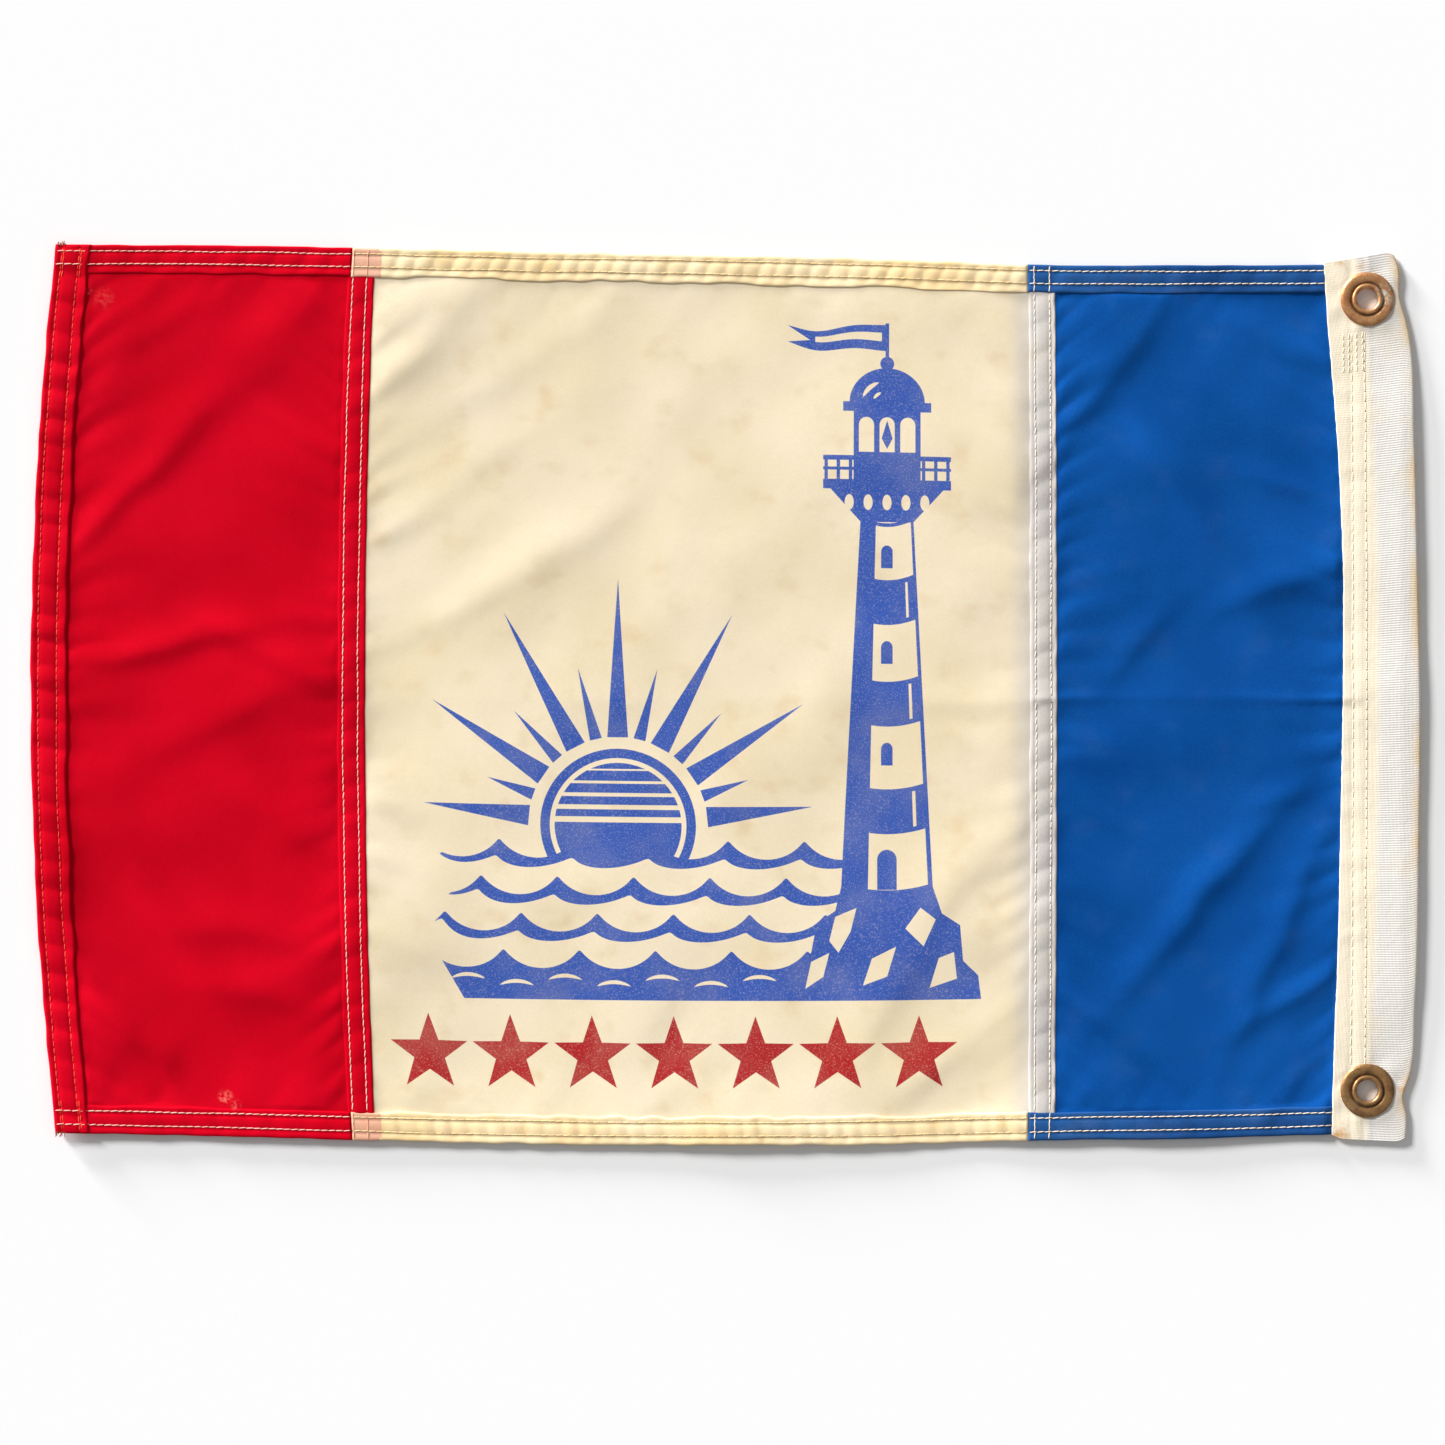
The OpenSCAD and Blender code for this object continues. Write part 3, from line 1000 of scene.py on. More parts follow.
@dataclass
class Band:
    """A folded strip of cloth, sewn down by rows of stitches: a hem along the flag or a seam up it."""

    lie: Lie
    name: str
    upright: bool
    start: float
    end: float
    edge: float
    width: float
    inward: int = 1
    thick: float = 0.75
    below: float = 0.18
    rows: tuple[float, ...] = (2.5, 7.0)
    press: float = 0.22
    pucker: float = 0.1
    pucker_pitch: float = 9.3
    scallop: float = 0.25
    flush: bool = False
    second_below: float = -1000.0
    seed: int = 1
    fine: float = 0.9

    def cut(self, along: np.ndarray, across: np.ndarray) -> tuple[np.ndarray, np.ndarray]:
        """Cut coordinates of a place along and across the band.

        Args:
            along: Place along the band, in millimetres of s or of y at the cut.
            across: Distance from the outer edge.

        Returns:
            s and t, the outer and inner edges drawn in a little between stitches.
        """
        share = across / self.width
        draw = self.scallop * wander(along / self.pucker_pitch + self.seed, self.seed + 21)
        outer = 0.5 * self.scallop * wander(along / 7 + self.seed, self.seed + 22) * (1 - share)
        place = self.edge + self.inward * (across + draw * share**3 + outer)
        half = self.lie.plan.half
        return (place, along / half) if self.upright else (along, place / half)

    def swell(self, along: np.ndarray, across: np.ndarray) -> np.ndarray:
        """How far the band's upper face stands above the cloth's middle.

        Args:
            along: Place along the band.
            across: Distance from the outer edge.

        Returns:
            A quarter round at each edge, pressed in along the rows and puffed by puckers between them.
        """
        full = self.thick - self.below
        outer = np.clip(across / 0.55, 0, 1)
        inner = np.clip((self.width - across) / (2.5 if self.flush else 0.3), 0, 1)
        body = full * np.sqrt(1 - (1 - outer) ** 2) * np.sqrt(1 - (1 - inner) ** 2)
        for row in self.rows:
            body = body - self.press * np.exp(-(((across - row) / 0.75) ** 2))
        lean = along + 0.3 * across + 2 * wander(along / 27, self.seed + 3)
        puff = 0.8 * wander(lean / 4.1 + 3.7, self.seed) + pillow(lean / self.pucker_pitch)
        puff = puff * ease(np.clip((along - self.second_below) / 4, 0, 1))
        ends = np.sqrt(np.clip(outer * inner, 0, 1))
        return body + self.pucker * puff * ends * np.sin(np.pi * np.clip(across / self.width, 0, 1)) ** 0.5

    def sag(self, across: np.ndarray) -> np.ndarray:
        """How far the band's lower face stands from the cloth's middle, rounded at the outer fold."""
        return -self.below * np.sqrt(1 - (1 - np.clip(across / 0.5, 0, 1)) ** 2)

    def lift(self, s: np.ndarray, t: np.ndarray, upper: bool) -> np.ndarray:
        """The band's upper or lower height at a cut place, or none away from the band."""
        half = self.lie.plan.half
        along, place = (t * half, s) if self.upright else (s, t * half)
        across = (place - self.edge) * self.inward
        here = (across >= 0) & (across <= self.width) & (along >= self.start) & (along <= self.end)
        return np.where(here, self.swell(along, across) if upper else self.sag(across), 0)

    def build(self, materials: list[Material], slot: Slot) -> Piece:
        """Makes the band as a closed slab, with closer columns at its edges and rows.

        Args:
            materials: What it wears, and what it wears left of second_below.
            slot: Not used.

        Returns:
            The piece.
        """
        marks = [0, 0.12, 0.3, 0.6, 1.1, self.width - 0.9, self.width - 0.35, self.width - 0.12, self.width]
        for row in self.rows:
            marks += [row - 0.8, row - 0.35, row, row + 0.35, row + 0.8]
        marks += list(np.linspace(1.1, self.width - 0.9, 7))
        across = np.unique(np.round([m for m in marks if 0 <= m <= self.width], 3))
        along = spaced(self.start, self.end, self.fine)
        a, c = np.meshgrid(along, across) if not self.upright else np.meshgrid(along, across, indexing="ij")
        if self.inward < 0:
            a, c = (a[::-1], c[::-1]) if not self.upright else (a[:, ::-1], c[:, ::-1])
        s, t = self.cut(a, c)
        points, faces = slab(self.lie.at(s, t, self.swell(a, c)), self.lie.at(s, t, self.sag(c)))
        places = (points[faces, 0].mean(1) < self.second_below).astype(int)
        uv = twice(cut_uv(s, t, self.lie.plan))
        return make_piece(self.name, points, faces, materials, uv, places)


@dataclass
class Layers:
    """Every band on the cloth, and the outermost surface that they make together."""

    lie: Lie
    bands: list["Band"] = field(default_factory=list)

    def row(self, upright: bool, along: np.ndarray, line: np.ndarray, upper: bool = True) -> np.ndarray:
        """Points of the outermost surface along a line up or across the flag.

        Args:
            upright: Whether the line runs up the flag.
            along: Places along it, in millimetres of the cut.
            line: Its own place, as s if it is upright, or as height at the cut.
            upper: Which face.

        Returns:
            The cloth's points, raised by the highest band there, or lowered by the lowest.
        """
        half = self.lie.plan.half
        s, t = (line, along / half) if upright else (along, line / half)
        s, t = np.broadcast_arrays(s, t)
        lifts = [np.full(s.shape, 0.12 if upper else -0.12)] + [band.lift(s, t, upper) for band in self.bands]
        return self.lie.at(s, t, np.max(lifts, 0) if upper else np.min(lifts, 0))


@dataclass
class Stitcher:
    """Lays lockstitches as small capsules, all of one seam in one piece."""

    name: str
    pitch: float = 2.5
    length: float = 2.55
    width: float = 0.36
    height: float = 0.3
    sway: float = 0.15
    seed: int = 3
    points: list[np.ndarray] = field(default_factory=list)
    faces: list[np.ndarray] = field(default_factory=list)
    places: list[np.ndarray] = field(default_factory=list)
    count: int = 0

    def template(self) -> tuple[np.ndarray, np.ndarray]:
        """A capsule of unit half length, width and height.

        Returns:
            Vertices on four hexagonal rings and two tips, and the quads and tip quads between them.
        """
        at = np.array([-0.86, -0.45, 0.45, 0.86])
        radius = np.array([0.62, 1.0, 1.0, 0.62])
        turn = np.arange(6) * np.pi / 3
        ring = np.stack([np.zeros(6), np.cos(turn), np.sin(turn)], -1)
        rings = ring[None] * radius[:, None, None] + np.stack([at, 0 * at, 0 * at], -1)[:, None]
        points = np.concatenate([rings.reshape(-1, 3), [[-1, 0, -0.3], [1, 0, -0.3]]])
        i = np.arange(6)
        j = (i + 1) % 6
        belt = np.stack([i, j, 6 + j, 6 + i], -1)[:, ::-1]
        sides = [belt + 6 * k for k in range(3)]
        e = np.array([0, 2, 4])
        back = np.stack([np.full(3, 24), e, (e + 1) % 6, (e + 2) % 6], -1)
        front = np.stack([np.full(3, 25), 18 + (e + 2) % 6, 18 + (e + 1) % 6, 18 + e], -1)
        return points, np.concatenate([*sides, back, front])

    def add(self, start: np.ndarray, end: np.ndarray, up: int, place: int = 0, size: float = 1.0) -> None:
        """Adds a stitch between each pair of points.

        Args:
            start: Where each stitch leaves the cloth.
            end: Where it goes back in.
            up: 1 on the upper face, -1 on the lower one.
            place: Which of the piece's materials it wears.
            size: Scale of its width and height.
        """
        shape, quads = self.template()
        along = end - start
        half = np.linalg.norm(along, axis=-1, keepdims=True) / 2
        along = along / (2 * half)
        side = np.cross([0, 0, up], along)
        side /= np.linalg.norm(side, axis=-1, keepdims=True)
        normal = np.cross(along, side)
        middle = (start + end) / 2 + normal * 0.05
        points = (
            middle[:, None]
            + along[:, None] * shape[None, :, :1] * half[:, None]
            + side[:, None] * shape[None, :, 1:2] * self.width / 2 * size
            + normal[:, None] * (shape[None, :, 2:] - 0.35 * shape[None, :, :1] ** 2) * self.height / 2 * size
        )
        offset = self.count + np.arange(len(start))[:, None, None] * len(shape)
        self.points.append(points.reshape(-1, 3))
        self.faces.append((quads[None] + offset).reshape(-1, 4))
        self.places.append(np.full(len(start) * len(quads), place))
        self.count += len(start) * len(shape)

    def sew(
        self,
        ground: "Layers | Heading",
        upright: bool,
        line: float,
        start: float,
        end: float,
        place: int = 0,
        pricked: bool = False,
    ) -> None:
        """Sews one row on both faces of the cloth.

        Args:
            ground: What it is sewn on, which gives the points of its faces.
            upright: Whether the row runs up the flag.
            line: The row's place across its own direction.
            start: Where it starts.
            end: Where it ends.
            place: Which of the piece's materials the row wears.
            pricked: Whether its needle holes show, as painted shade in the material after that.
        """
        middle = spaced(start + self.pitch / 2, end - self.pitch / 2, self.pitch)
        rng = np.random.default_rng(self.seed + int(abs(line)))
        drift = 0.16 * wander(middle / 17 + line, self.seed)
        for upper in (True, False):
            tilt = self.sway * (0.7 + 0.4 * rng.uniform(-1, 1, len(middle)))
            half = self.length / 2 * (1 + 0.06 * rng.uniform(-1, 1, len(middle)))
            a = ground.row(upright, middle - half, line + drift - tilt, upper)
            b = ground.row(upright, middle + half, line + drift + tilt, upper)
            self.add(a, b, 1 if upper else -1, place)
        # Each needle hole is a small dark capsule between two stitches: painted shade in the hole.
        if pricked:
            gap = middle[1:] - self.pitch / 2
            a, b = (ground.row(upright, gap + reach, line + drift[1:]) for reach in (-0.24, 0.24))
            self.add(a, b, 1, place + 1, 1.1)

    def build(self, materials: list[Material], slot: Slot) -> Piece:
        """Makes the piece of all the stitches added."""
        return make_piece(
            self.name,
            np.concatenate(self.points),
            np.concatenate(self.faces),
            materials,
            places=np.concatenate(self.places),
        )


# ------------------------------------------------------------------------------
# The print
# ------------------------------------------------------------------------------


@dataclass
class Print:
    """The panel's picture: a lighthouse before a sun that rises over the sea, above a row of red stars.

    Shapes are painted in order, each over the ones before it, in millimetres from the flag's middle.
    """

    tower_x: float = 54.0
    sun: tuple[float, float] = (-34.0, -42.0)
    sea_top: float = -50.0
    foot: float = -100.0
    shapes: list[tuple[Ink, np.ndarray]] = field(default_factory=list)

    def paint(self, ink: Ink, *outlines: np.ndarray) -> None:
        """Adds closed outlines in one ink."""
        self.shapes += [(ink, np.array(outline, float)) for outline in outlines]

    @staticmethod
    def block(x0: float, y0: float, x1: float, y1: float) -> np.ndarray:
        """An upright rectangle."""
        return np.array([(x0, y0), (x1, y0), (x1, y1), (x0, y1)])

    @staticmethod
    def oval(x: float, y: float, rx: float, ry: float, start: float = 0, end: float = 360) -> np.ndarray:
        """An ellipse, or the part of it between two angles in degrees, closed by a straight line."""
        turn = np.radians(np.linspace(start, end, max(int(abs(end - start) / 6), 8) + 1))
        if end - start == 360:
            turn = turn[:-1]
        return np.stack([x + rx * np.cos(turn), y + ry * np.sin(turn)], -1)

    def ring(self, x: float, y: float, radius: float, width: float, start: float, end: float) -> np.ndarray:
        """A curved stroke round a centre that tapers to a point at both ends."""
        turn = np.radians(np.linspace(start, end, max(int((end - start) / 5), 6) + 1))
        half = width / 2 * np.sin(np.linspace(0, np.pi, len(turn))) ** 0.6
        outer = np.stack([x + (radius + half) * np.cos(turn), y + (radius + half) * np.sin(turn)], -1)
        inner = np.stack([x + (radius - half) * np.cos(turn), y + (radius - half) * np.sin(turn)], -1)
        return np.concatenate([outer, inner[-2:0:-1]])

    def arch(self, ink: Ink, x: float, low: float, high: float, half: float, rise: float) -> None:
        """Paints an upright opening with a round top."""
        self.paint(ink, self.block(x - half, low, x + half, high), self.oval(x, high, half, rise))

    def star(self, x: float, y: float, radius: float) -> np.ndarray:
        """A five-pointed star with one point up."""
        turn = np.radians(90 + 36 * np.arange(10))
        reach = np.where(np.arange(10) % 2, radius * 0.4, radius)
        return np.stack([x + reach * np.cos(turn), y + reach * np.sin(turn)], -1)

    def draw_sun(self) -> None:
        """A banded disc with thirteen pointed rays, longer towards the zenith."""
        x, y = self.sun
        for k, angle in enumerate(np.linspace(6, 174, 13)):
            long_ray = k % 2 == 0
            reach = (62 + 20 * math.sin(math.radians(angle))) * (1.0 if long_ray else 0.66)
            root = 29.5
            half = math.degrees((3.4 if long_ray else 2.0) / root)
            turn = np.radians([angle - half, angle, angle + half])
            radius = np.array([root, reach, root])
            self.paint(Ink.BLUE, np.stack([x + radius * np.cos(turn), y + radius * np.sin(turn)], -1))
        self.paint(Ink.BLUE, self.oval(x, y, 25.5, 25.5))
        self.paint(Ink.NONE, self.oval(x, y, 22.4, 22.4))
        self.paint(Ink.BLUE, self.oval(x, y, 20.8, 20.8))
        for k in range(5):
            level = y + 1 + 4.3 * k
            gap = 1.9 - 0.33 * k
            reach = math.sqrt(20.8**2 - (level - y) ** 2)
            self.paint(Ink.NONE, self.block(x - reach, level, x + reach, level + gap))

    def wave(self, level: float, phase: float, low: float, high: float) -> tuple[np.ndarray, np.ndarray]:
        """One line of the sea.

        Args:
            level: Its mean height.
            phase: Where its first crest stands.
            low: Its left end.
            high: Its right end.

        Returns:
            The crest line, a trochoid with sharp crests, and the line under it, shifted down and along so
            that the stroke between them swells and thins.
        """
        length, bite, tall = 25.0, 2.9, 3.0
        turn = np.linspace(0, 2 * np.pi * (high - low + 10) / length, 150)
        x = low - 5 + turn * length / (2 * np.pi)
        crest = np.stack([x - bite * np.sin(turn + phase), level + tall * np.cos(turn + phase)], -1)
        keep = (crest[:, 0] >= low) & (crest[:, 0] <= high)
        crest = crest[keep]
        share = (crest[:, 0] - low) / (high - low)
        thick = (4.6 + 1.6 * np.sin(turn[keep] + phase + 1.2)) * (1 - (2 * share - 1) ** 8)
        crest, thick = crest[thick > 0.5], thick[thick > 0.5]
        return crest, crest - np.stack([0.9 + 0 * thick, thick], -1)

    def draw_sea(self) -> None:
        """Four lines of waves that hide the sun's foot, the last one filled to the picture's foot."""
        for k in range(4):
            level = self.sea_top - 12.2 * k
            low, high = -93 + 3.0 * (k % 2) - 1.5 * k, 58
            crest, under = self.wave(level, 1.9 * k, low, high)
            corners = [(60, crest[-1, 1]), (60, self.foot), (crest[0, 0] + 7, self.foot)]
            self.paint(Ink.NONE, np.concatenate([crest, corners]))
            if k < 3:
                self.paint(Ink.BLUE, np.concatenate([crest, under[::-1]]))
            else:
                self.paint(Ink.BLUE, np.concatenate([crest, corners]))
        for k, x in enumerate(np.linspace(-84, 12, 7)):
            self.paint(Ink.NONE, self.ring(x, -104 - 2 * (k % 2), 12, 1.3, 62, 118))

    def draw_rocks(self) -> None:
        """Rocks under the tower, each with a lit facet."""
        left = [(20, -100), (23, -88), (29, -84), (31, -74), (37, -70), (39, -62)]
        right = [(69, -62), (72, -71), (78, -75), (79, -87), (84, -92), (85, -100)]
        self.paint(Ink.BLUE, left + right)
        facets = (
            [(27, -96), (29, -87), (35, -84), (33, -92)],
            [(35, -80), (37, -72), (44, -69), (42, -77), (38, -84)],
            [(46, -95), (49, -86), (57, -82), (54, -92)],
            [(60, -76), (65, -69), (70, -73), (66, -82)],
            [(68, -96), (71, -86), (76, -84), (77, -93)],
        )
        self.paint(Ink.NONE, *facets)

    def draw_tower(self) -> None:
        """The tapered tower with its dark side, three painted bands, door and windows."""
        x = self.tower_x
        low, high, foot_w, neck_w = -62.0, 62.0, 15.0, 8.6

        def wide(y: float) -> float:
            """Half width of the tower at a height."""
            return foot_w + (neck_w - foot_w) * (y - low) / (high - low)

        def belt(y0: float, y1: float, left: float, right: float) -> np.ndarray:
            """A band round the tower between two shares of its width, bowed down like a hoop."""
            share = np.linspace(left, right, 17)
            sag = 2.4 * (1 - share**2)
            upper = np.stack([x + share * wide(y1), y1 - sag], -1)
            lower = np.stack([x + share * wide(y0), y0 - sag], -1)
            return np.concatenate([lower, upper[::-1]])

        self.paint(Ink.BLUE, belt(low, high, -1, 1))
        self.paint(Ink.NONE, belt(low + 1.2, high - 1.2, -0.9, 0.9))
        self.paint(Ink.BLUE, belt(low, high, -0.9, -0.42))
        for y0 in (-42.0, -6.0, 28.0):
            self.paint(Ink.BLUE, belt(y0, y0 + 15, -1, 1))
            self.paint(Ink.NONE, belt(y0 + 1.6, y0 + 13.4, 0.62, 0.7))
        for level in (-18.0, 16.0, 48.0):
            self.arch(Ink.BLUE, x, level - 3.4, level + 2, 1.9, 2.2)
        self.arch(Ink.BLUE, x, low - 1, low + 9, 3.2, 3.4)

    def draw_lantern(self) -> None:
        """The gallery with its railing, the lantern room, the dome, the mast and its pennant."""
        x = self.tower_x
        self.paint(Ink.BLUE, [(x - 8.6, 60), (x + 8.6, 60), (x + 19, 71.5), (x - 19, 71.5)])
        for k in range(5):
            side = x - 12.4 + 6.2 * k
            self.paint(Ink.NONE, self.oval(side, 66.6, 1.5, 2.6))
        self.paint(Ink.BLUE, self.block(x - 21, 71, x + 21, 74.2))
        self.paint(Ink.BLUE, self.block(x - 11, 74, x + 11, 98))
        for k in range(3):
            side = x - 6.8 + 6.8 * k
            self.arch(Ink.NONE, side, 83.4, 92.5, 2.5, 2.6)
        self.paint(Ink.BLUE, [(x, 84.5), (x + 1.8, 88), (x, 94), (x - 1.8, 88)])
        for k in range(11):
            post = x - 20 + 4 * k
            self.paint(Ink.BLUE, self.block(post - 0.55, 74, post + 0.55, 81.6))
        self.paint(Ink.BLUE, self.block(x - 21, 80.6, x + 21, 82.2), self.block(x - 21, 77.3, x + 21, 78.3))
        self.paint(Ink.BLUE, self.block(x - 14.5, 97, x + 14.5, 100.2))
        self.paint(Ink.BLUE, self.oval(x, 100, 12.4, 11.5, 0, 180))
        self.paint(Ink.NONE, self.ring(x, 98.5, 8.6, 1.5, 108, 158), self.ring(x, 98.5, 5.2, 1.1, 112, 150))
        self.paint(Ink.BLUE, self.oval(x, 113, 2.3, 2.3), self.block(x - 0.6, 113, x + 0.6, 126.5))
        span = np.linspace(0, 1, 19)
        ripple = 1.7 * np.sin(2.3 * np.pi * span) * span
        top = np.stack([x - 33 * span, 126 - 2.2 * span + ripple], -1)
        low = np.stack([x - 33 * span, 117.2 + 1.2 * span + ripple], -1)
        notch = [(x - 25.5, 121.2 + ripple[14])]
        self.paint(Ink.BLUE, np.concatenate([top, notch, low[::-1]]))
        inner = span[1:14]
        upper = np.stack([x - 33 * inner, 123.4 - 1.1 * inner + ripple[1:14]], -1)
        lower = np.stack([x - 33 * inner, 120.4 + 0.6 * inner + ripple[1:14]], -1)
        self.paint(Ink.NONE, np.concatenate([upper, lower[::-1]]))

    def draw_stars(self) -> None:
        """Seven plain red stars in a row."""
        for k in range(7):
            self.paint(Ink.RED, self.star(-97.5 + 27 * k, -118.4, 13.3))

    def draw(self) -> "Print":
        """Draws the whole picture."""
        self.draw_sun()
        self.draw_sea()
        self.draw_rocks()
        self.draw_tower()
        self.draw_lantern()
        self.draw_stars()
        return self

    @staticmethod
    def inside(points: np.ndarray, outline: np.ndarray) -> np.ndarray:
        """Whether each point is inside an outline, by counting the edges to its right."""
        a, b = outline, np.roll(outline, -1, 0)
        found = np.zeros(len(points), bool)
        low, high = outline.min(0), outline.max(0)
        maybe = np.flatnonzero(((points >= low) & (points <= high)).all(1))
        px, py = points[maybe, :1], points[maybe, 1:]
        crosses = (a[:, 1] > py) != (b[:, 1] > py)
        rise = np.where(b[:, 1] == a[:, 1], 1, b[:, 1] - a[:, 1])
        right = a[:, 0] + (py - a[:, 1]) * (b[:, 0] - a[:, 0]) / rise > px
        found[maybe] = (crosses & right).sum(1) % 2 == 1
        return found

    def inks(self, points: np.ndarray) -> np.ndarray:
        """The ink on each point: that of the last shape that covers it."""
        ink = np.zeros(len(points), int)
        for kind, outline in self.shapes:
            ink[self.inside(points, outline)] = kind.value
        return ink


# ------------------------------------------------------------------------------
# Panels
# ------------------------------------------------------------------------------


@dataclass
class Panels:
    """The three single-ply fields of the flag."""

    lie: Lie
    finishes: Wardrobe
    thick: float = 0.24
    step: float = 1.25
    under_hem: float = 3.0

    def t_reach(self) -> float:
        """How far up a field reaches, hidden under its hems."""
        return self.lie.plan.from_edge(self.lie.plan.hem_w - self.under_hem)

    def plain(self, name: str, left: float, right: float, material: Material) -> Piece:
        """A field without print, as a thin closed slab on an even grid.

        Args:
            name: The piece's name.
            left: The s of its left side.
            right: The s of its right side.
            material: What it wears.

        Returns:
            The piece.
        """
        reach = self.t_reach()
        s, t = np.meshgrid(
            spaced(left, right, self.step),
            spaced(-reach * self.lie.plan.half, reach * self.lie.plan.half, self.step) / self.lie.plan.half,
        )
        points, faces = slab(self.lie.at(s, t, self.thick / 2), self.lie.at(s, t, -self.thick / 2))
        return make_piece(name, points, faces, [material], twice(cut_uv(s, t, self.lie.plan)))

    def printed(self, name: str, left: float, right: float, picture: Print) -> Piece:
        """The white field, its faces cut along the picture's outlines so that the ink has sharp edges.

        Args:
            name: The piece's name.
            left: The s of its left side.
            right: The s of its right side.
            picture: The picture.

        Returns:
            The piece, a constrained Delaunay triangulation of an even grid and the outlines, on both faces.
        """
        half = self.lie.plan.half
        high = self.t_reach() * half
        gx, gy = np.meshgrid(spaced(left, right, 1.7), spaced(-high, high, 1.7))
        grid = np.stack([gx, gy], -1)
        rim = np.concatenate([grid[0, :-1], grid[:-1, -1], grid[-1, :0:-1], grid[:0:-1, 0]])
        loops = [rim] + [self.split(outline) for _, outline in picture.shapes]
        points, edges, at = [], [], 0
        for loop in loops:
            number = at + np.arange(len(loop))
            edges.append(np.stack([number, np.roll(number, -1)], -1))
            points.append(loop)
            at += len(loop)
        points = np.concatenate([*points, self.clear_of(grid[1:-1, 1:-1].reshape(-1, 2), picture)])
        result = delaunay_2d_cdt([Vector(p) for p in points], np.concatenate(edges).tolist(), [], 0, 1e-4)
        flat = np.array([tuple(v) for v in result[0]])
        triangles = np.array(result[2])
        middle = flat[triangles].mean(1)
        corner = flat[triangles]
        area = np.cross(corner[:, 1] - corner[:, 0], corner[:, 2] - corner[:, 0])
        triangles[area < 0] = triangles[area < 0][:, ::-1]
        triangles, middle = triangles[np.abs(area) > 1e-6], middle[np.abs(area) > 1e-6]
        inks = picture.inks(middle)
        return self.two_faced(name, flat, triangles, inks)

    @staticmethod
    def split(outline: np.ndarray, most: float = 1.8) -> np.ndarray:
        """An outline with its long sides cut into lengths of about most, to follow the cloth's folds."""
        parts = []
        for a, b in zip(outline, np.roll(outline, -1, 0)):
            count = max(int(np.ceil(np.hypot(*(b - a)) / most)), 1)
            parts.append(a + (b - a) * np.arange(count)[:, None] / count)
        return np.concatenate(parts)

    def clear_of(self, points: np.ndarray, picture: Print, room: float = 0.7) -> np.ndarray:
        """The points that stay clear of every outline's corners, so that no sliver is cut."""
        corners = np.concatenate([self.split(outline) for _, outline in picture.shapes])
        cells = {tuple(c) for c in np.round(corners / room).astype(int).tolist()}
        keep = [tuple(c) not in cells for c in np.round(points / room).astype(int).tolist()]
        return points[np.array(keep)]

    def two_faced(self, name: str, flat: np.ndarray, triangles: np.ndarray, inks: np.ndarray) -> Piece:
        """Lays a flat triangulation on the cloth as its upper and lower face, and closes the rim.

        Args:
            name: The piece's name.
            flat: Cut places of the vertices, in millimetres.
            triangles: Vertex numbers, anticlockwise.
            inks: The ink on each triangle.

        Returns:
            The piece.
        """
        f = self.finishes
        s, t = flat[:, 0], flat[:, 1] / self.lie.plan.half
        count = len(flat)
        points = np.concatenate([self.lie.at(s, t, self.thick / 2), self.lie.at(s, t, -self.thick / 2)])
        edges = np.concatenate([triangles[:, [0, 1]], triangles[:, [1, 2]], triangles[:, [2, 0]]])
        keys = np.sort(edges, 1) @ np.array([count, 1])
        _, first, uses = np.unique(keys, return_index=True, return_counts=True)
        rim = edges[first[uses == 1]]
        walls = np.concatenate(
            [
                np.stack([rim[:, 1], rim[:, 0], rim[:, 0] + count], -1),
                np.stack([rim[:, 1], rim[:, 0] + count, rim[:, 1] + count], -1),
            ]
        )
        faces = np.concatenate([triangles, triangles[:, ::-1] + count, walls])
        places = np.concatenate([inks, inks, np.zeros(len(walls), int)])
        uv = cut_uv(s, t, self.lie.plan)
        materials = [f.white, f.blue_print, f.red_print]
        return make_piece(name, points, faces, materials, np.concatenate([uv, uv]), places)


# ------------------------------------------------------------------------------
# Heading and grommets
# ------------------------------------------------------------------------------


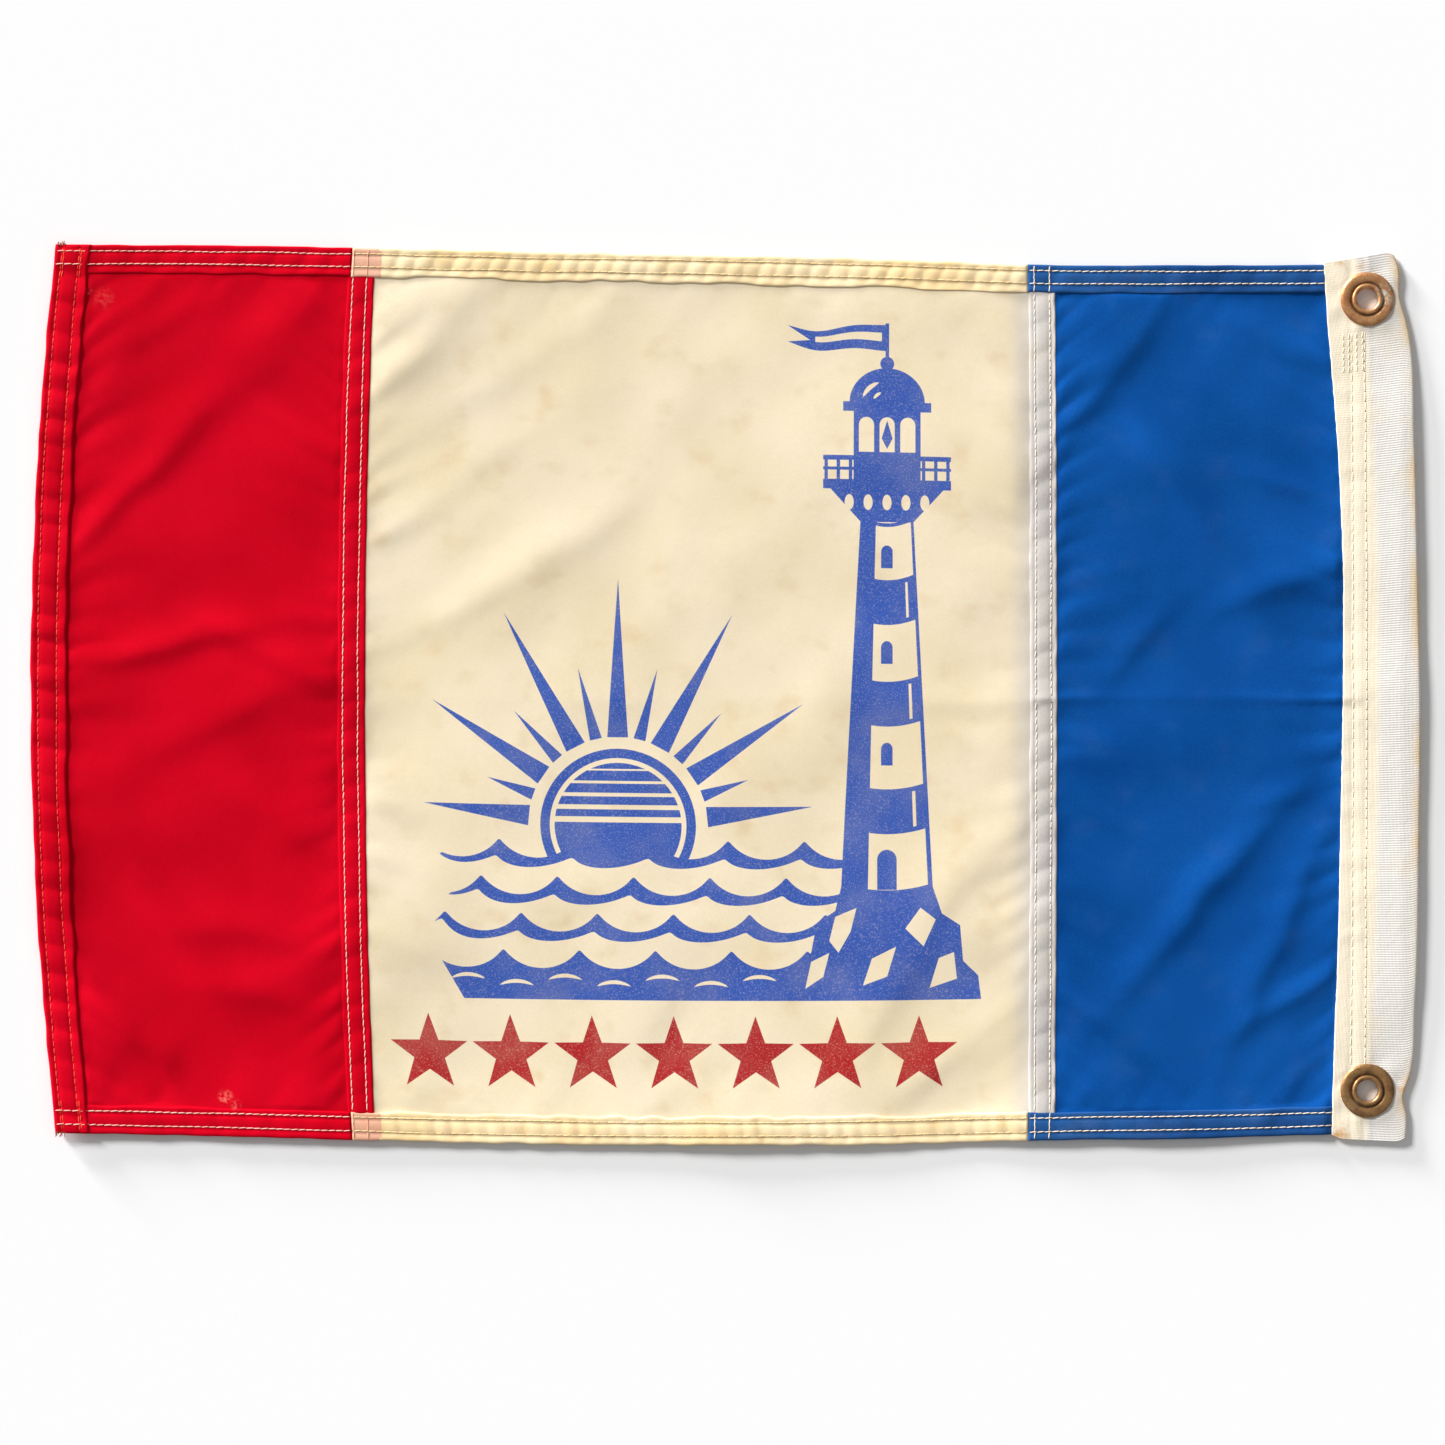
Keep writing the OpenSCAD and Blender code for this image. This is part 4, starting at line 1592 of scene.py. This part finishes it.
@dataclass
class Heading:
    """The folded canvas tape that holds the panel's edge, and its two rows of stitches."""

    left_edge: tuple = (
        (-147.5, 201.8), (-118, 202.6), (-88, 203.8), (-44, 204.8), (-2, 205.5),
        (45, 205.6), (85, 203.8), (120, 201), (144, 199.2),
    )
    right_edge: tuple = (
        (-149, 226.4), (-139, 226.9), (-133, 225.7), (-126, 228), (-101, 229.8), (-51, 231), (-6, 231.4),
        (45, 230.4), (85, 229.4), (124, 226.9), (132, 224.6), (141, 224.4), (148, 222),
    )
    half_length: float = 146.0
    half_thick: float = 0.8
    row_bow: float = 0.8
    ply: float = 0.62
    rows: tuple[float, float] = (208.0, 212.6)
    hole_r: float = 4.3
    width: float = 26.0
    tuck: float = 0.5

    def ends(self, share: np.ndarray) -> tuple[np.ndarray, np.ndarray]:
        """The y of the two cut ends at shares of the width: they slope and waver, with rounded corners."""
        outer = 1.7 * np.clip((share - 0.84) / 0.16, 0, 1) ** 2.2
        inner = 1.1 * np.clip((0.16 - share) / 0.16, 0, 1) ** 2
        waver = 0.12 * wander(4 * share, 51)
        return -147.6 - 1.1 * share + outer + inner + waver, 143.7 + 4.1 * share - outer + waver

    def profile(self) -> np.ndarray:
        """The tape's closed section, as share of the width and height over the middle.

        Returns:
            From the inner edge along the top to the fold, round it, back under, and home inside both plies.
        """
        flat = self.columns()
        turn = np.linspace(90, -90, 10)[1:-1]
        half = self.half_thick
        top = [(u, half if u > 0.004 else half - 0.12) for u in flat]
        fold = [(0.965 + 0.035 * math.cos(math.radians(a)), half * math.sin(math.radians(a))) for a in turn]
        bottom = [(u, -h) for u, h in top[::-1]]
        inner = half - self.ply
        pocket = flat[flat <= self.tuck]
        under = [(u, -inner) for u in pocket]
        over = [(u, inner) for u in pocket[::-1]]
        return np.array(top + fold + bottom + under + over)

    @staticmethod
    def columns() -> np.ndarray:
        """Places across a ply as shares of the tape's width, close together at its cut edge."""
        return np.concatenate([[0, 0.006, 0.015], np.linspace(0.03, 0.965, 27)])

    def surface(self, share: np.ndarray, height: np.ndarray, v: np.ndarray) -> np.ndarray:
        """Points of the tape.

        Args:
            share: Share of the tape's width from its inner edge.
            height: Height over the middle of the tape.
            v: From -1 at the bottom end to 1 at the top end.

        Returns:
            x between the two edge curves at that y, y between the two cut ends, and z over the table.
        """
        y = self.half_length * v
        left, right = through(y, self.left_edge), through(y, self.right_edge)
        left = left + 0.1 * wander(y / 1.8, 61) * np.exp(-share / 0.05)
        x = left + (right - left) * share
        bottom, top = self.ends(share)
        y = bottom + (top - bottom) * (v + 1) / 2
        height = height * (1 - 0.16 * ease(np.clip((x - self.rows[1] - 1.2) / 1.6, 0, 1)))
        pressed = np.zeros_like(x)
        for row in self.rows:
            pressed += 0.14 * np.exp(-(((x - row - self.row_bow * (1 - v * v)) / 0.7) ** 2))
        return np.stack([x, y, TapeRest().middle(x, y) + height - np.sign(height) * pressed], -1)

    def row(self, upright: bool, along: np.ndarray, line: np.ndarray, upper: bool = True) -> np.ndarray:
        """Points of the tape's upper or lower face, at a y along it and on a bowed line up it."""
        v = along / self.half_length
        x = line + self.row_bow * (1 - v * v)
        left, right = through(along, self.left_edge), through(along, self.right_edge)
        share = (x - left) / (right - left)
        height = self.half_thick if upper else -self.half_thick
        return self.surface(share, np.full_like(share, height), v + 0 * share)

    def build(self) -> Piece:
        """Sweeps the section up the heading, closes both ends and cuts the two grommet holes."""
        section = self.profile()
        v = np.linspace(-1, 1, 300)
        share, grid_v = np.meshgrid(section[:, 0], v)
        height, _ = np.meshgrid(section[:, 1], v)
        points = self.surface(share, height, grid_v)
        rows, columns = share.shape
        number = np.arange(rows * columns).reshape(rows, columns)
        nxt = np.roll(number, -1, 1)
        faces = np.stack([number[:-1], nxt[:-1], nxt[1:], number[1:]], -1).reshape(-1, 4)
        caps = self.caps(number)
        along = grid_v * self.half_length + 0.3 * np.sign(height)
        uv = np.stack([share * self.width, along], -1).reshape(-1, 2) * MM
        centres = [grommet_at("upper"), grommet_at("lower")]
        tape = make_piece(
            "heading_canvas_tape",
            points.reshape(-1, 3),
            np.concatenate([faces, caps]),
            [Canvas().build(centres)],
            uv,
        )
        for centre in centres:
            self.punch(tape, centre)
        tape.data.set_sharp_from_angle(angle=math.radians(50))
        return tape

    def caps(self, number: np.ndarray) -> np.ndarray:
        """Quads that close the two cut ends.

        Args:
            number: Vertex numbers, one row for each step up the tape.

        Returns:
            The pocket's two plies, the step at its end, the closed part beyond it, and the fold.
        """
        flat = self.columns()
        count, m = len(flat), int((flat <= self.tuck).sum())
        bend = np.arange(count - 1, len(self.profile()) - 2 * m - count + 1)
        top = np.arange(count)
        bottom = bend[-1] + count - 1 - top
        under = bottom[0] + 1 + np.arange(m)
        over = under[-1] + m - np.arange(m)
        k = np.arange(len(bend) // 2 - 1)
        quads = np.concatenate([
            np.stack([top[: m - 1], top[1:m], over[1:], over[:-1]], -1),
            np.stack([under[:-1], under[1:], bottom[1:m], bottom[: m - 1]], -1),
            [[over[-1], top[m - 1], top[m], bottom[m]], [over[-1], bottom[m], bottom[m - 1], under[-1]]],
            np.stack([top[m:-1], top[m + 1 :], bottom[m + 1 :], bottom[m:-1]], -1),
            np.stack([bend[k], bend[k + 1], bend[-2 - k], bend[-1 - k]], -1),
        ])
        return np.concatenate([number[0][quads[:, ::-1]], number[-1][quads]])

    def punch(self, tape: Piece, centre: np.ndarray) -> None:
        """Cuts one round hole through the tape and applies the cut."""
        radius = self.hole_r * MM
        bpy.ops.mesh.primitive_cylinder_add(vertices=48, radius=radius, depth=0.02, location=centre * MM)
        tool = bpy.context.object
        cut = tape.modifiers.new("hole", "BOOLEAN")
        cut.operation, cut.object, cut.solver = "DIFFERENCE", tool, "EXACT"
        mesh = bpy.data.meshes.new_from_object(tape.evaluated_get(bpy.context.evaluated_depsgraph_get()))
        tape.modifiers.clear()
        tape.data = mesh
        bpy.data.objects.remove(tool)


@dataclass
class Grommet:
    """One pressed grommet: the eyelet with its rolled lip, and the washer under the lip."""

    which: str
    finish: Brass
    segments: int = 96
    hole_r: float = 3.6
    lip_r: float = 5.15

    def revolve(self, name: str, section: np.ndarray, seed: int) -> Piece:
        """Turns a closed section about the grommet's axis.

        Args:
            name: The piece's name.
            section: Radius and height of each point, anticlockwise seen with the axis on the left.
            seed: Which small dents it has.

        Returns:
            The piece: each point turns on a circle that is dented by a slow random curve.
        """
        centre = grommet_at(self.which)
        turn = np.linspace(0, 2 * np.pi, self.segments, endpoint=False)
        dent = 0.035 * np.cos(3 * turn + seed) + 0.025 * np.cos(5 * turn + 2 * seed)
        radius = section[None, :, 0] + dent[:, None] * (section[None, :, 0] > 4.4)
        height = section[None, :, 1] + 0.02 * (1 + np.cos(2 * turn + seed))[:, None]
        x = centre[0] + radius * np.cos(turn)[:, None]
        y = centre[1] + radius * np.sin(turn)[:, None]
        points = np.stack([x, y, height + 0 * x], -1)
        rows, columns = x.shape
        number = np.arange(rows * columns).reshape(rows, columns)
        along, around = np.roll(number, -1, 1), np.roll(number, -1, 0)
        both = np.roll(along, -1, 0)
        faces = np.stack([number, around, both, along], -1).reshape(-1, 4)
        return make_piece(name, points.reshape(-1, 3), faces, [self.finish.build()])

    @staticmethod
    def arc(x: float, y: float, rx: float, ry: float, start: float, end: float, count: int = 9) -> list:
        """Points of an elliptic arc between two angles in degrees."""
        turn = np.radians(np.linspace(start, end, count))
        return list(zip(x + rx * np.cos(turn), y + ry * np.sin(turn)))

    def build(self) -> list[Piece]:
        """Makes the eyelet and the washer from the sizes of their CAD nodes."""
        low, high = box_mm(f"{self.which}_grommet_eyelet")
        washer_low, washer_high = box_mm(f"{self.which}_grommet_washer")
        outer = (high[0] - low[0]) / 2
        hole, lip, seat = self.hole_r, self.lip_r, washer_high[2]
        crown = high[2]
        middle = (hole + lip) / 2
        eyelet = (
            self.arc(middle, seat + 0.02, (lip - hole) / 2, crown - seat + 0.1, 0, 180, 13)
            + [(hole, seat - 0.4), (hole, 1.2)]
            + self.arc(hole + 0.7, 0.62, 0.7, 0.62, 180, 270, 7)
            + [(6.5, 0.0)]
            + self.arc(outer - 0.45, 0.25, 0.45, 0.25, 270, 360, 6)
            + [(outer, 0.4), (outer - 0.15, 0.46), (6.5, 0.44), (hole + 0.55, 0.5)]
            + [(hole + 0.5, 1.2), (hole + 0.5, seat - 0.2)]
        )
        base = washer_low[2]
        washer = (
            [(hole + 0.56, base), (outer - 0.2, base)]
            + self.arc(outer - 0.22, base + 0.2, 0.22, 0.2, -60, 60, 6)
            + [(outer - 0.45, base + 0.43)]
            + self.arc((outer + 5.6) / 2, seat - 0.08, (outer - 6.3) / 2, 0.34, 15, 165, 13)
            + [(5.6, seat - 0.1), (5.3, seat - 0.2), (hole + 0.56, seat - 0.24)]
        )
        pieces = []
        for name, section, seed in (("eyelet", eyelet, 1), ("washer", washer, 4)):
            piece = self.revolve(f"{self.which}_{name}_brass", np.array(section)[::-1], seed)
            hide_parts(f"{self.which}_grommet_{name}")
            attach(piece, Body.HEADING.value)
            pieces.append(piece)
        return pieces


# ------------------------------------------------------------------------------
# The flag
# ------------------------------------------------------------------------------


@dataclass(frozen=True)
class Hinge:
    """A fold between two bodies."""

    joint: str
    hoist_side: Body
    fly_side: Body
    zone: float = 3.2


@dataclass
class Flag:
    """The whole flag, panel by panel from the heading to the fly."""

    plan: Plan = field(default_factory=Plan)
    lie: Lie = field(init=False)
    finishes: Wardrobe = field(init=False)
    layers: Layers = field(init=False)
    at_heading: Hinge = Hinge("heading_fold", Body.HEADING, Body.BLUE)
    at_blue: Hinge = Hinge("blue_white_fold", Body.BLUE, Body.WHITE)
    at_red: Hinge = Hinge("white_red_fold", Body.WHITE, Body.RED)
    hinges: dict[str, Hinge] = field(init=False)
    cloths: dict[str, tuple[Piece, float, float]] = field(default_factory=dict)
    sewn: dict[str, list[Piece]] = field(default_factory=lambda: {"blue": [], "white": [], "red": []})

    def __post_init__(self) -> None:
        """Works out the lie of the cloth and builds the finishes."""
        self.lie = Lie(self.plan)
        self.finishes = Wardrobe()
        self.layers = Layers(self.lie)
        self.hinges = {"blue": self.at_heading, "white": self.at_blue, "red": self.at_red}

    def bend(self, piece: Piece, hinge: Hinge) -> None:
        """Bakes a piece's transform into its mesh."""
        x = self.plan.fold_x(hinge.joint)
        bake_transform(piece)

    def panels(self) -> None:
        """The three fields, each reaching under the seams beside it."""
        p, f = self.plan, self.finishes
        panels = Panels(self.lie, f)
        height = 2 * panels.t_reach() * p.half
        blue = panels.plain("blue_panel_cloth", p.blue - 4, p.heading + 7, f.blue)
        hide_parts("blue_panel", "blue_seam_allowance")
        self.bend(blue, self.at_heading)
        self.cloths["blue"] = (blue, p.heading + 11 - p.blue, height)
        white = panels.printed("white_panel_cloth", p.red - 5, p.blue - p.seam_w + 2.5, Print().draw())
        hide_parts("white_panel")
        self.bend(white, self.at_blue)
        self.cloths["white"] = (white, p.blue - p.seam_w + 7.5 - p.red, height)
        red = panels.plain("red_panel_cloth", p.fly_hem - 4, p.red - p.seam_w + 4, f.red)
        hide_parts("red_panel")
        self.bend(red, self.at_red)
        self.cloths["red"] = (red, p.red - p.seam_w + 8 - p.fly_hem, height)

    def hem(self, colour: str, side: int, start: float, end: float, **looks: float) -> Band:
        """One hem of one panel, side 1 along the top or -1 along the bottom."""
        edge = side * self.plan.half
        where = "top" if side > 0 else "bottom"
        seed = sum(map(ord, colour)) + side
        name = f"{colour}_{where}_hem_cloth"
        band = Band(self.lie, name, False, start, end, edge, self.plan.hem_w, -side, seed=seed, **looks)
        self.layers.bands.append(band)
        return band

    def hems(self) -> None:
        """Top and bottom hems of each panel."""
        p, f = self.plan, self.finishes
        patch = p.red - p.seam_w + 1.3
        step = p.blue - p.seam_w
        quilted = {"scallop": 0.55, "pucker": 0.15, "pucker_pitch": 6.0, "second_below": patch + 9.4}
        plans = (
            ("blue", step, p.heading + 6, [f.blue_hem], Slot.BLUE, {}),
            ("white", patch, step, [f.white_hem, f.white_over_red], Slot.WHITE, quilted),
            ("red", p.fly + 4, patch, [f.red], Slot.RED, {}),
        )
        for colour, start, end, cloths, slot, looks in plans:
            for side in (1, -1):
                band = self.hem(colour, side, start, end, **looks)
                hem = band.build(cloths, slot)
                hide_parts(f"{colour}_{'top' if side > 0 else 'bottom'}_hem")
                self.bend(hem, self.hinges[colour])
                self.sewn[colour].append(hem)

    def hem_rows(self) -> None:
        """The two rows of stitches along each hem; those of the red panel run on over the fly hem."""
        p, f = self.plan, self.finishes
        patch, step = p.red - p.seam_w + 1.3, p.blue - p.seam_w
        plans = (
            ("blue", step + 0.4, p.heading + 1, f.cream_thread),
            ("white", patch + 0.4, step - 0.4, f.yellow_thread),
            ("red", p.fly_hem, patch - 0.4, f.pink_thread),
        )
        for colour, start, end, thread in plans:
            for side in (1, -1):
                where = "top" if side > 0 else "bottom"
                stitches = Stitcher(f"{colour}_{where}_hem_stitches", seed=3 + side)
                for row in (2.1, 6.4) if side > 0 else (3.0, 7.6):
                    line = side * (p.half - row)
                    stitches.sew(self.layers, False, line, start, end, pricked=colour == "white")
                    if colour == "red":
                        stitches.sew(self.layers, False, line, p.fly + 0.8, p.fly_hem)
                piece = stitches.build([thread, f.dimple_shade], Slot.CREAM_THREAD)
                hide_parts(f"{colour}_{where}_hem_stitching")
                self.bend(piece, self.hinges[colour])
                self.sewn[colour].append(piece)

    def seams(self) -> None:
        """The two felled seams between panels."""
        p, f = self.plan, self.finishes
        high = p.half - p.hem_w + 0.8
        plans = (
            ("blue_white_seam", p.blue, f.white_over_blue, Slot.WHITE, Body.BLUE, (2.0, 7.0), 0.11),
            ("white_red_seam", p.red, f.red, Slot.RED, Body.WHITE, (2.4, 7.2), 0.11),
        )
        for name, edge, cloth, slot, body, rows, pucker in plans:
            band = Band(
                self.lie, f"{name}_cloth", True, -high, high, edge, p.seam_w, -1,
                thick=0.62, rows=rows, press=0.16, pucker=pucker, scallop=0.2, flush=True, seed=len(name),
            )
            strip = band.build([cloth], slot)
            self.layers.bands.append(band)
            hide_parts(name)
            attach(strip, body.value)
            self.sewn["white" if slot == Slot.WHITE else "red"].append(strip)

    def seam_rows(self) -> None:
        """Two rows up each seam: those by the blue panel cross its hems, the others fade under a patch."""
        p, f = self.plan, self.finishes
        high = p.half - p.hem_w
        plans = (
            ("blue_white_seam", p.blue, [f.seam_thread, f.hole, f.cream_thread], (1.9, 6.9), Body.BLUE),
            ("white_red_seam", p.red, [f.pink_thread, f.hole, f.patch_thread], (2.4, 7.2), Body.WHITE),
        )
        for name, edge, threads, rows, body in plans:
            stitches = Stitcher(f"{name}_stitches", seed=8)
            for row in rows:
                fine = body == Body.BLUE and row < 4
                stitches.sew(self.layers, True, edge - row, -high + 0.4, high - 0.4, pricked=fine)
                for side in (1, -1):
                    low, top = sorted((side * (high + 0.2), side * (p.half - 0.5)))
                    stitches.sew(self.layers, True, edge - row, low, top, place=2)
            piece = stitches.build(threads, Slot.CREAM_THREAD)
            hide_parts(f"{name}_stitching")
            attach(piece, body.value)
            self.sewn["white" if body == Body.BLUE else "red"].append(piece)

    def fly(self) -> None:
        """The fly hem, which lies over the ends of the other hems."""
        p, f = self.plan, self.finishes
        band = Band(
            self.lie, "fly_hem_cloth", True, -p.half, p.half, p.fly, p.fly_hem - p.fly, 1,
            thick=1.1, rows=(2.4, 8.3), press=0.24, pucker=0.27, pucker_pitch=9.3, scallop=0.45, seed=5,
        )
        self.layers.bands.append(band)
        hem = band.build([f.red], Slot.RED)
        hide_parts("fly_hem")
        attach(hem, Body.RED.value)
        self.sewn["red"].append(hem)

    def fly_rows(self) -> None:
        """The fly hem's two red rows, sewn back over themselves at both ends."""
        p, f = self.plan, self.finishes
        stitches = Stitcher("fly_hem_stitches", length=2.15, width=0.38, height=0.26, sway=0.06, seed=9)
        for row in (2.4, 8.3):
            stitches.sew(self.layers, True, p.fly + row, -p.half + 1, p.half - 1)
            for side in (1, -1):
                low, top = sorted((side * (p.half - 11), side * (p.half - 1.5)))
                stitches.sew(self.layers, True, p.fly + row + 0.7, low, top)
        self.fray(stitches)
        piece = stitches.build([f.red_thread, f.frayed], Slot.RED_THREAD)
        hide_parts("fly_hem_stitching")
        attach(piece, Body.RED.value)
        self.sewn["red"].append(piece)

    def fray(self, stitches: Stitcher) -> None:
        """Loose thread ends at the fly hem's two corners, fanned out from 0 to 2.4 mm beyond them."""
        rng = np.random.default_rng(21)
        for side in (1, -1):
            s = self.plan.fly + rng.uniform(0.6, 3.2, 12)
            root = self.layers.row(False, s, side * (self.plan.half - 0.6))
            across = rng.uniform(-1.2, 0.9, 12)
            out = side * rng.uniform(0.6, 2.2, 12)
            lift = rng.uniform(-0.5, 0.2, 12)
            stitches.add(root, root + np.stack([across, out, lift], -1), 1, 1, 0.7)

    def heading(self) -> None:
        """The canvas heading, its rows and bar tacks, and the two grommets."""
        f = self.finishes
        heading = Heading()
        tape = heading.build()
        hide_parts("heading_tape")
        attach(tape, Body.HEADING.value)
        self.cloths["canvas"] = (tape, 2 * heading.width, 2 * heading.half_length)
        upper, lower = grommet_at("upper"), grommet_at("lower")
        reach = upper[1] - 10
        tack_length = 13
        rows = Stitcher("heading_stitches", pitch=3.3, length=3.0, width=0.34, height=0.2, sway=0.05, seed=12)
        for row in heading.rows:
            rows.sew(heading, True, row, -reach, reach, pricked=row > 210)
        sewn = rows.build([f.canvas_thread, f.hole], Slot.CREAM_THREAD)
        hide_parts("heading_stitching")
        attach(sewn, Body.HEADING.value)
        tacks = Stitcher("heading_bar_tack_stitches", pitch=2.1, length=1.9, width=0.3, height=0.16, seed=13)
        for column in (205.4, 207.3, 209.8, 211.9):
            tacks.sew(heading, True, column, reach - tack_length, reach)
        sewn = tacks.build([f.canvas_thread], Slot.CREAM_THREAD)
        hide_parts("heading_bar_tacks")
        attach(sewn, Body.HEADING.value)
        copper = Brass(
            "upper_brass", srgb(228, 170, 116), srgb(180, 124, 82), srgb(180, 176, 160),
            tuple(upper[:2]), (upper[0] + 6, upper[1] + 1), 1.0
        )
        brown = Brass(
            "lower_brass", srgb(186, 142, 92), srgb(136, 98, 62), srgb(140, 120, 92),
            tuple(lower[:2]), (lower[0] - 5, lower[1] - 5), 0.4
        )
        Grommet("upper", copper).build()
        Grommet("lower", brown).build()

    def build(self) -> None:
        """Makes every piece."""
        self.panels()
        self.hems()
        self.seams()
        self.fly()
        self.hem_rows()
        self.seam_rows()
        self.fly_rows()
        self.heading()


# ------------------------------------------------------------------------------
# Studio
# ------------------------------------------------------------------------------


@dataclass
class Studio:
    """Plain pale table, soft light from the upper left and a camera that looks straight down."""

    view_w: float = 0.4817
    view_x: float = -0.001
    view_y: float = -0.0092
    camera_z: float = 1.5

    def camera(self) -> None:
        """A long lens over the flag's middle."""
        data = bpy.data.cameras.new("camera")
        data.sensor_width = 36
        data.lens = 36 * self.camera_z / self.view_w
        camera = bpy.data.objects.new("camera", data)
        camera.location = (self.view_x, self.view_y, self.camera_z)
        bpy.context.collection.objects.link(camera)
        bpy.context.scene.camera = camera

    def table(self) -> None:
        """A broad matt white top at the height that the flag lies on."""
        bpy.ops.mesh.primitive_plane_add(size=6, location=(0, 0, 0))
        top = bpy.context.object
        top.name = "table"
        nodes = Nodes("table_top")
        nodes.set(Base_Color=(0.98, 0.98, 0.98, 1), Roughness=0.9, Specular_IOR_Level=0.1)
        top.data.materials.append(nodes.material)

    @staticmethod
    def sun(name: str, towards: tuple[float, float, float], softness: float, strength: float) -> None:
        """A distant lamp that shines in one direction, its disc softness degrees across."""
        data = bpy.data.lights.new(name, "SUN")
        data.angle, data.energy = math.radians(softness), strength
        lamp = bpy.data.objects.new(name, data)
        lamp.rotation_euler = Vector(towards).to_track_quat("-Z", "Y").to_euler()
        bpy.context.collection.objects.link(lamp)

    def light(self) -> None:
        """A soft key from the upper left, a raking one under it for long shadows, and an even pale sky."""
        self.sun("key", (1.7, -1.5, -1.05), 14, 3.7)
        self.sun("rake", (1.6, -1.8, -0.31), 10, 5.2)
        world = bpy.data.worlds.new("sky")
        world.use_nodes = True
        world.node_tree.nodes["Background"].inputs["Color"].default_value = (1, 1, 1, 1)
        world.node_tree.nodes["Background"].inputs["Strength"].default_value = 0.3
        bpy.context.scene.world = world
        bpy.context.scene.view_settings.view_transform = "Standard"

    def build(self) -> None:
        """Sets everything up."""
        self.camera()
        self.table()
        self.light()


def main() -> None:
    """Builds the studio and the flag."""
    logging.basicConfig(level=logging.INFO, format="%(name)s: %(message)s")
    Studio().build()
    Flag().build()


if __name__ == "__main__":
    main()
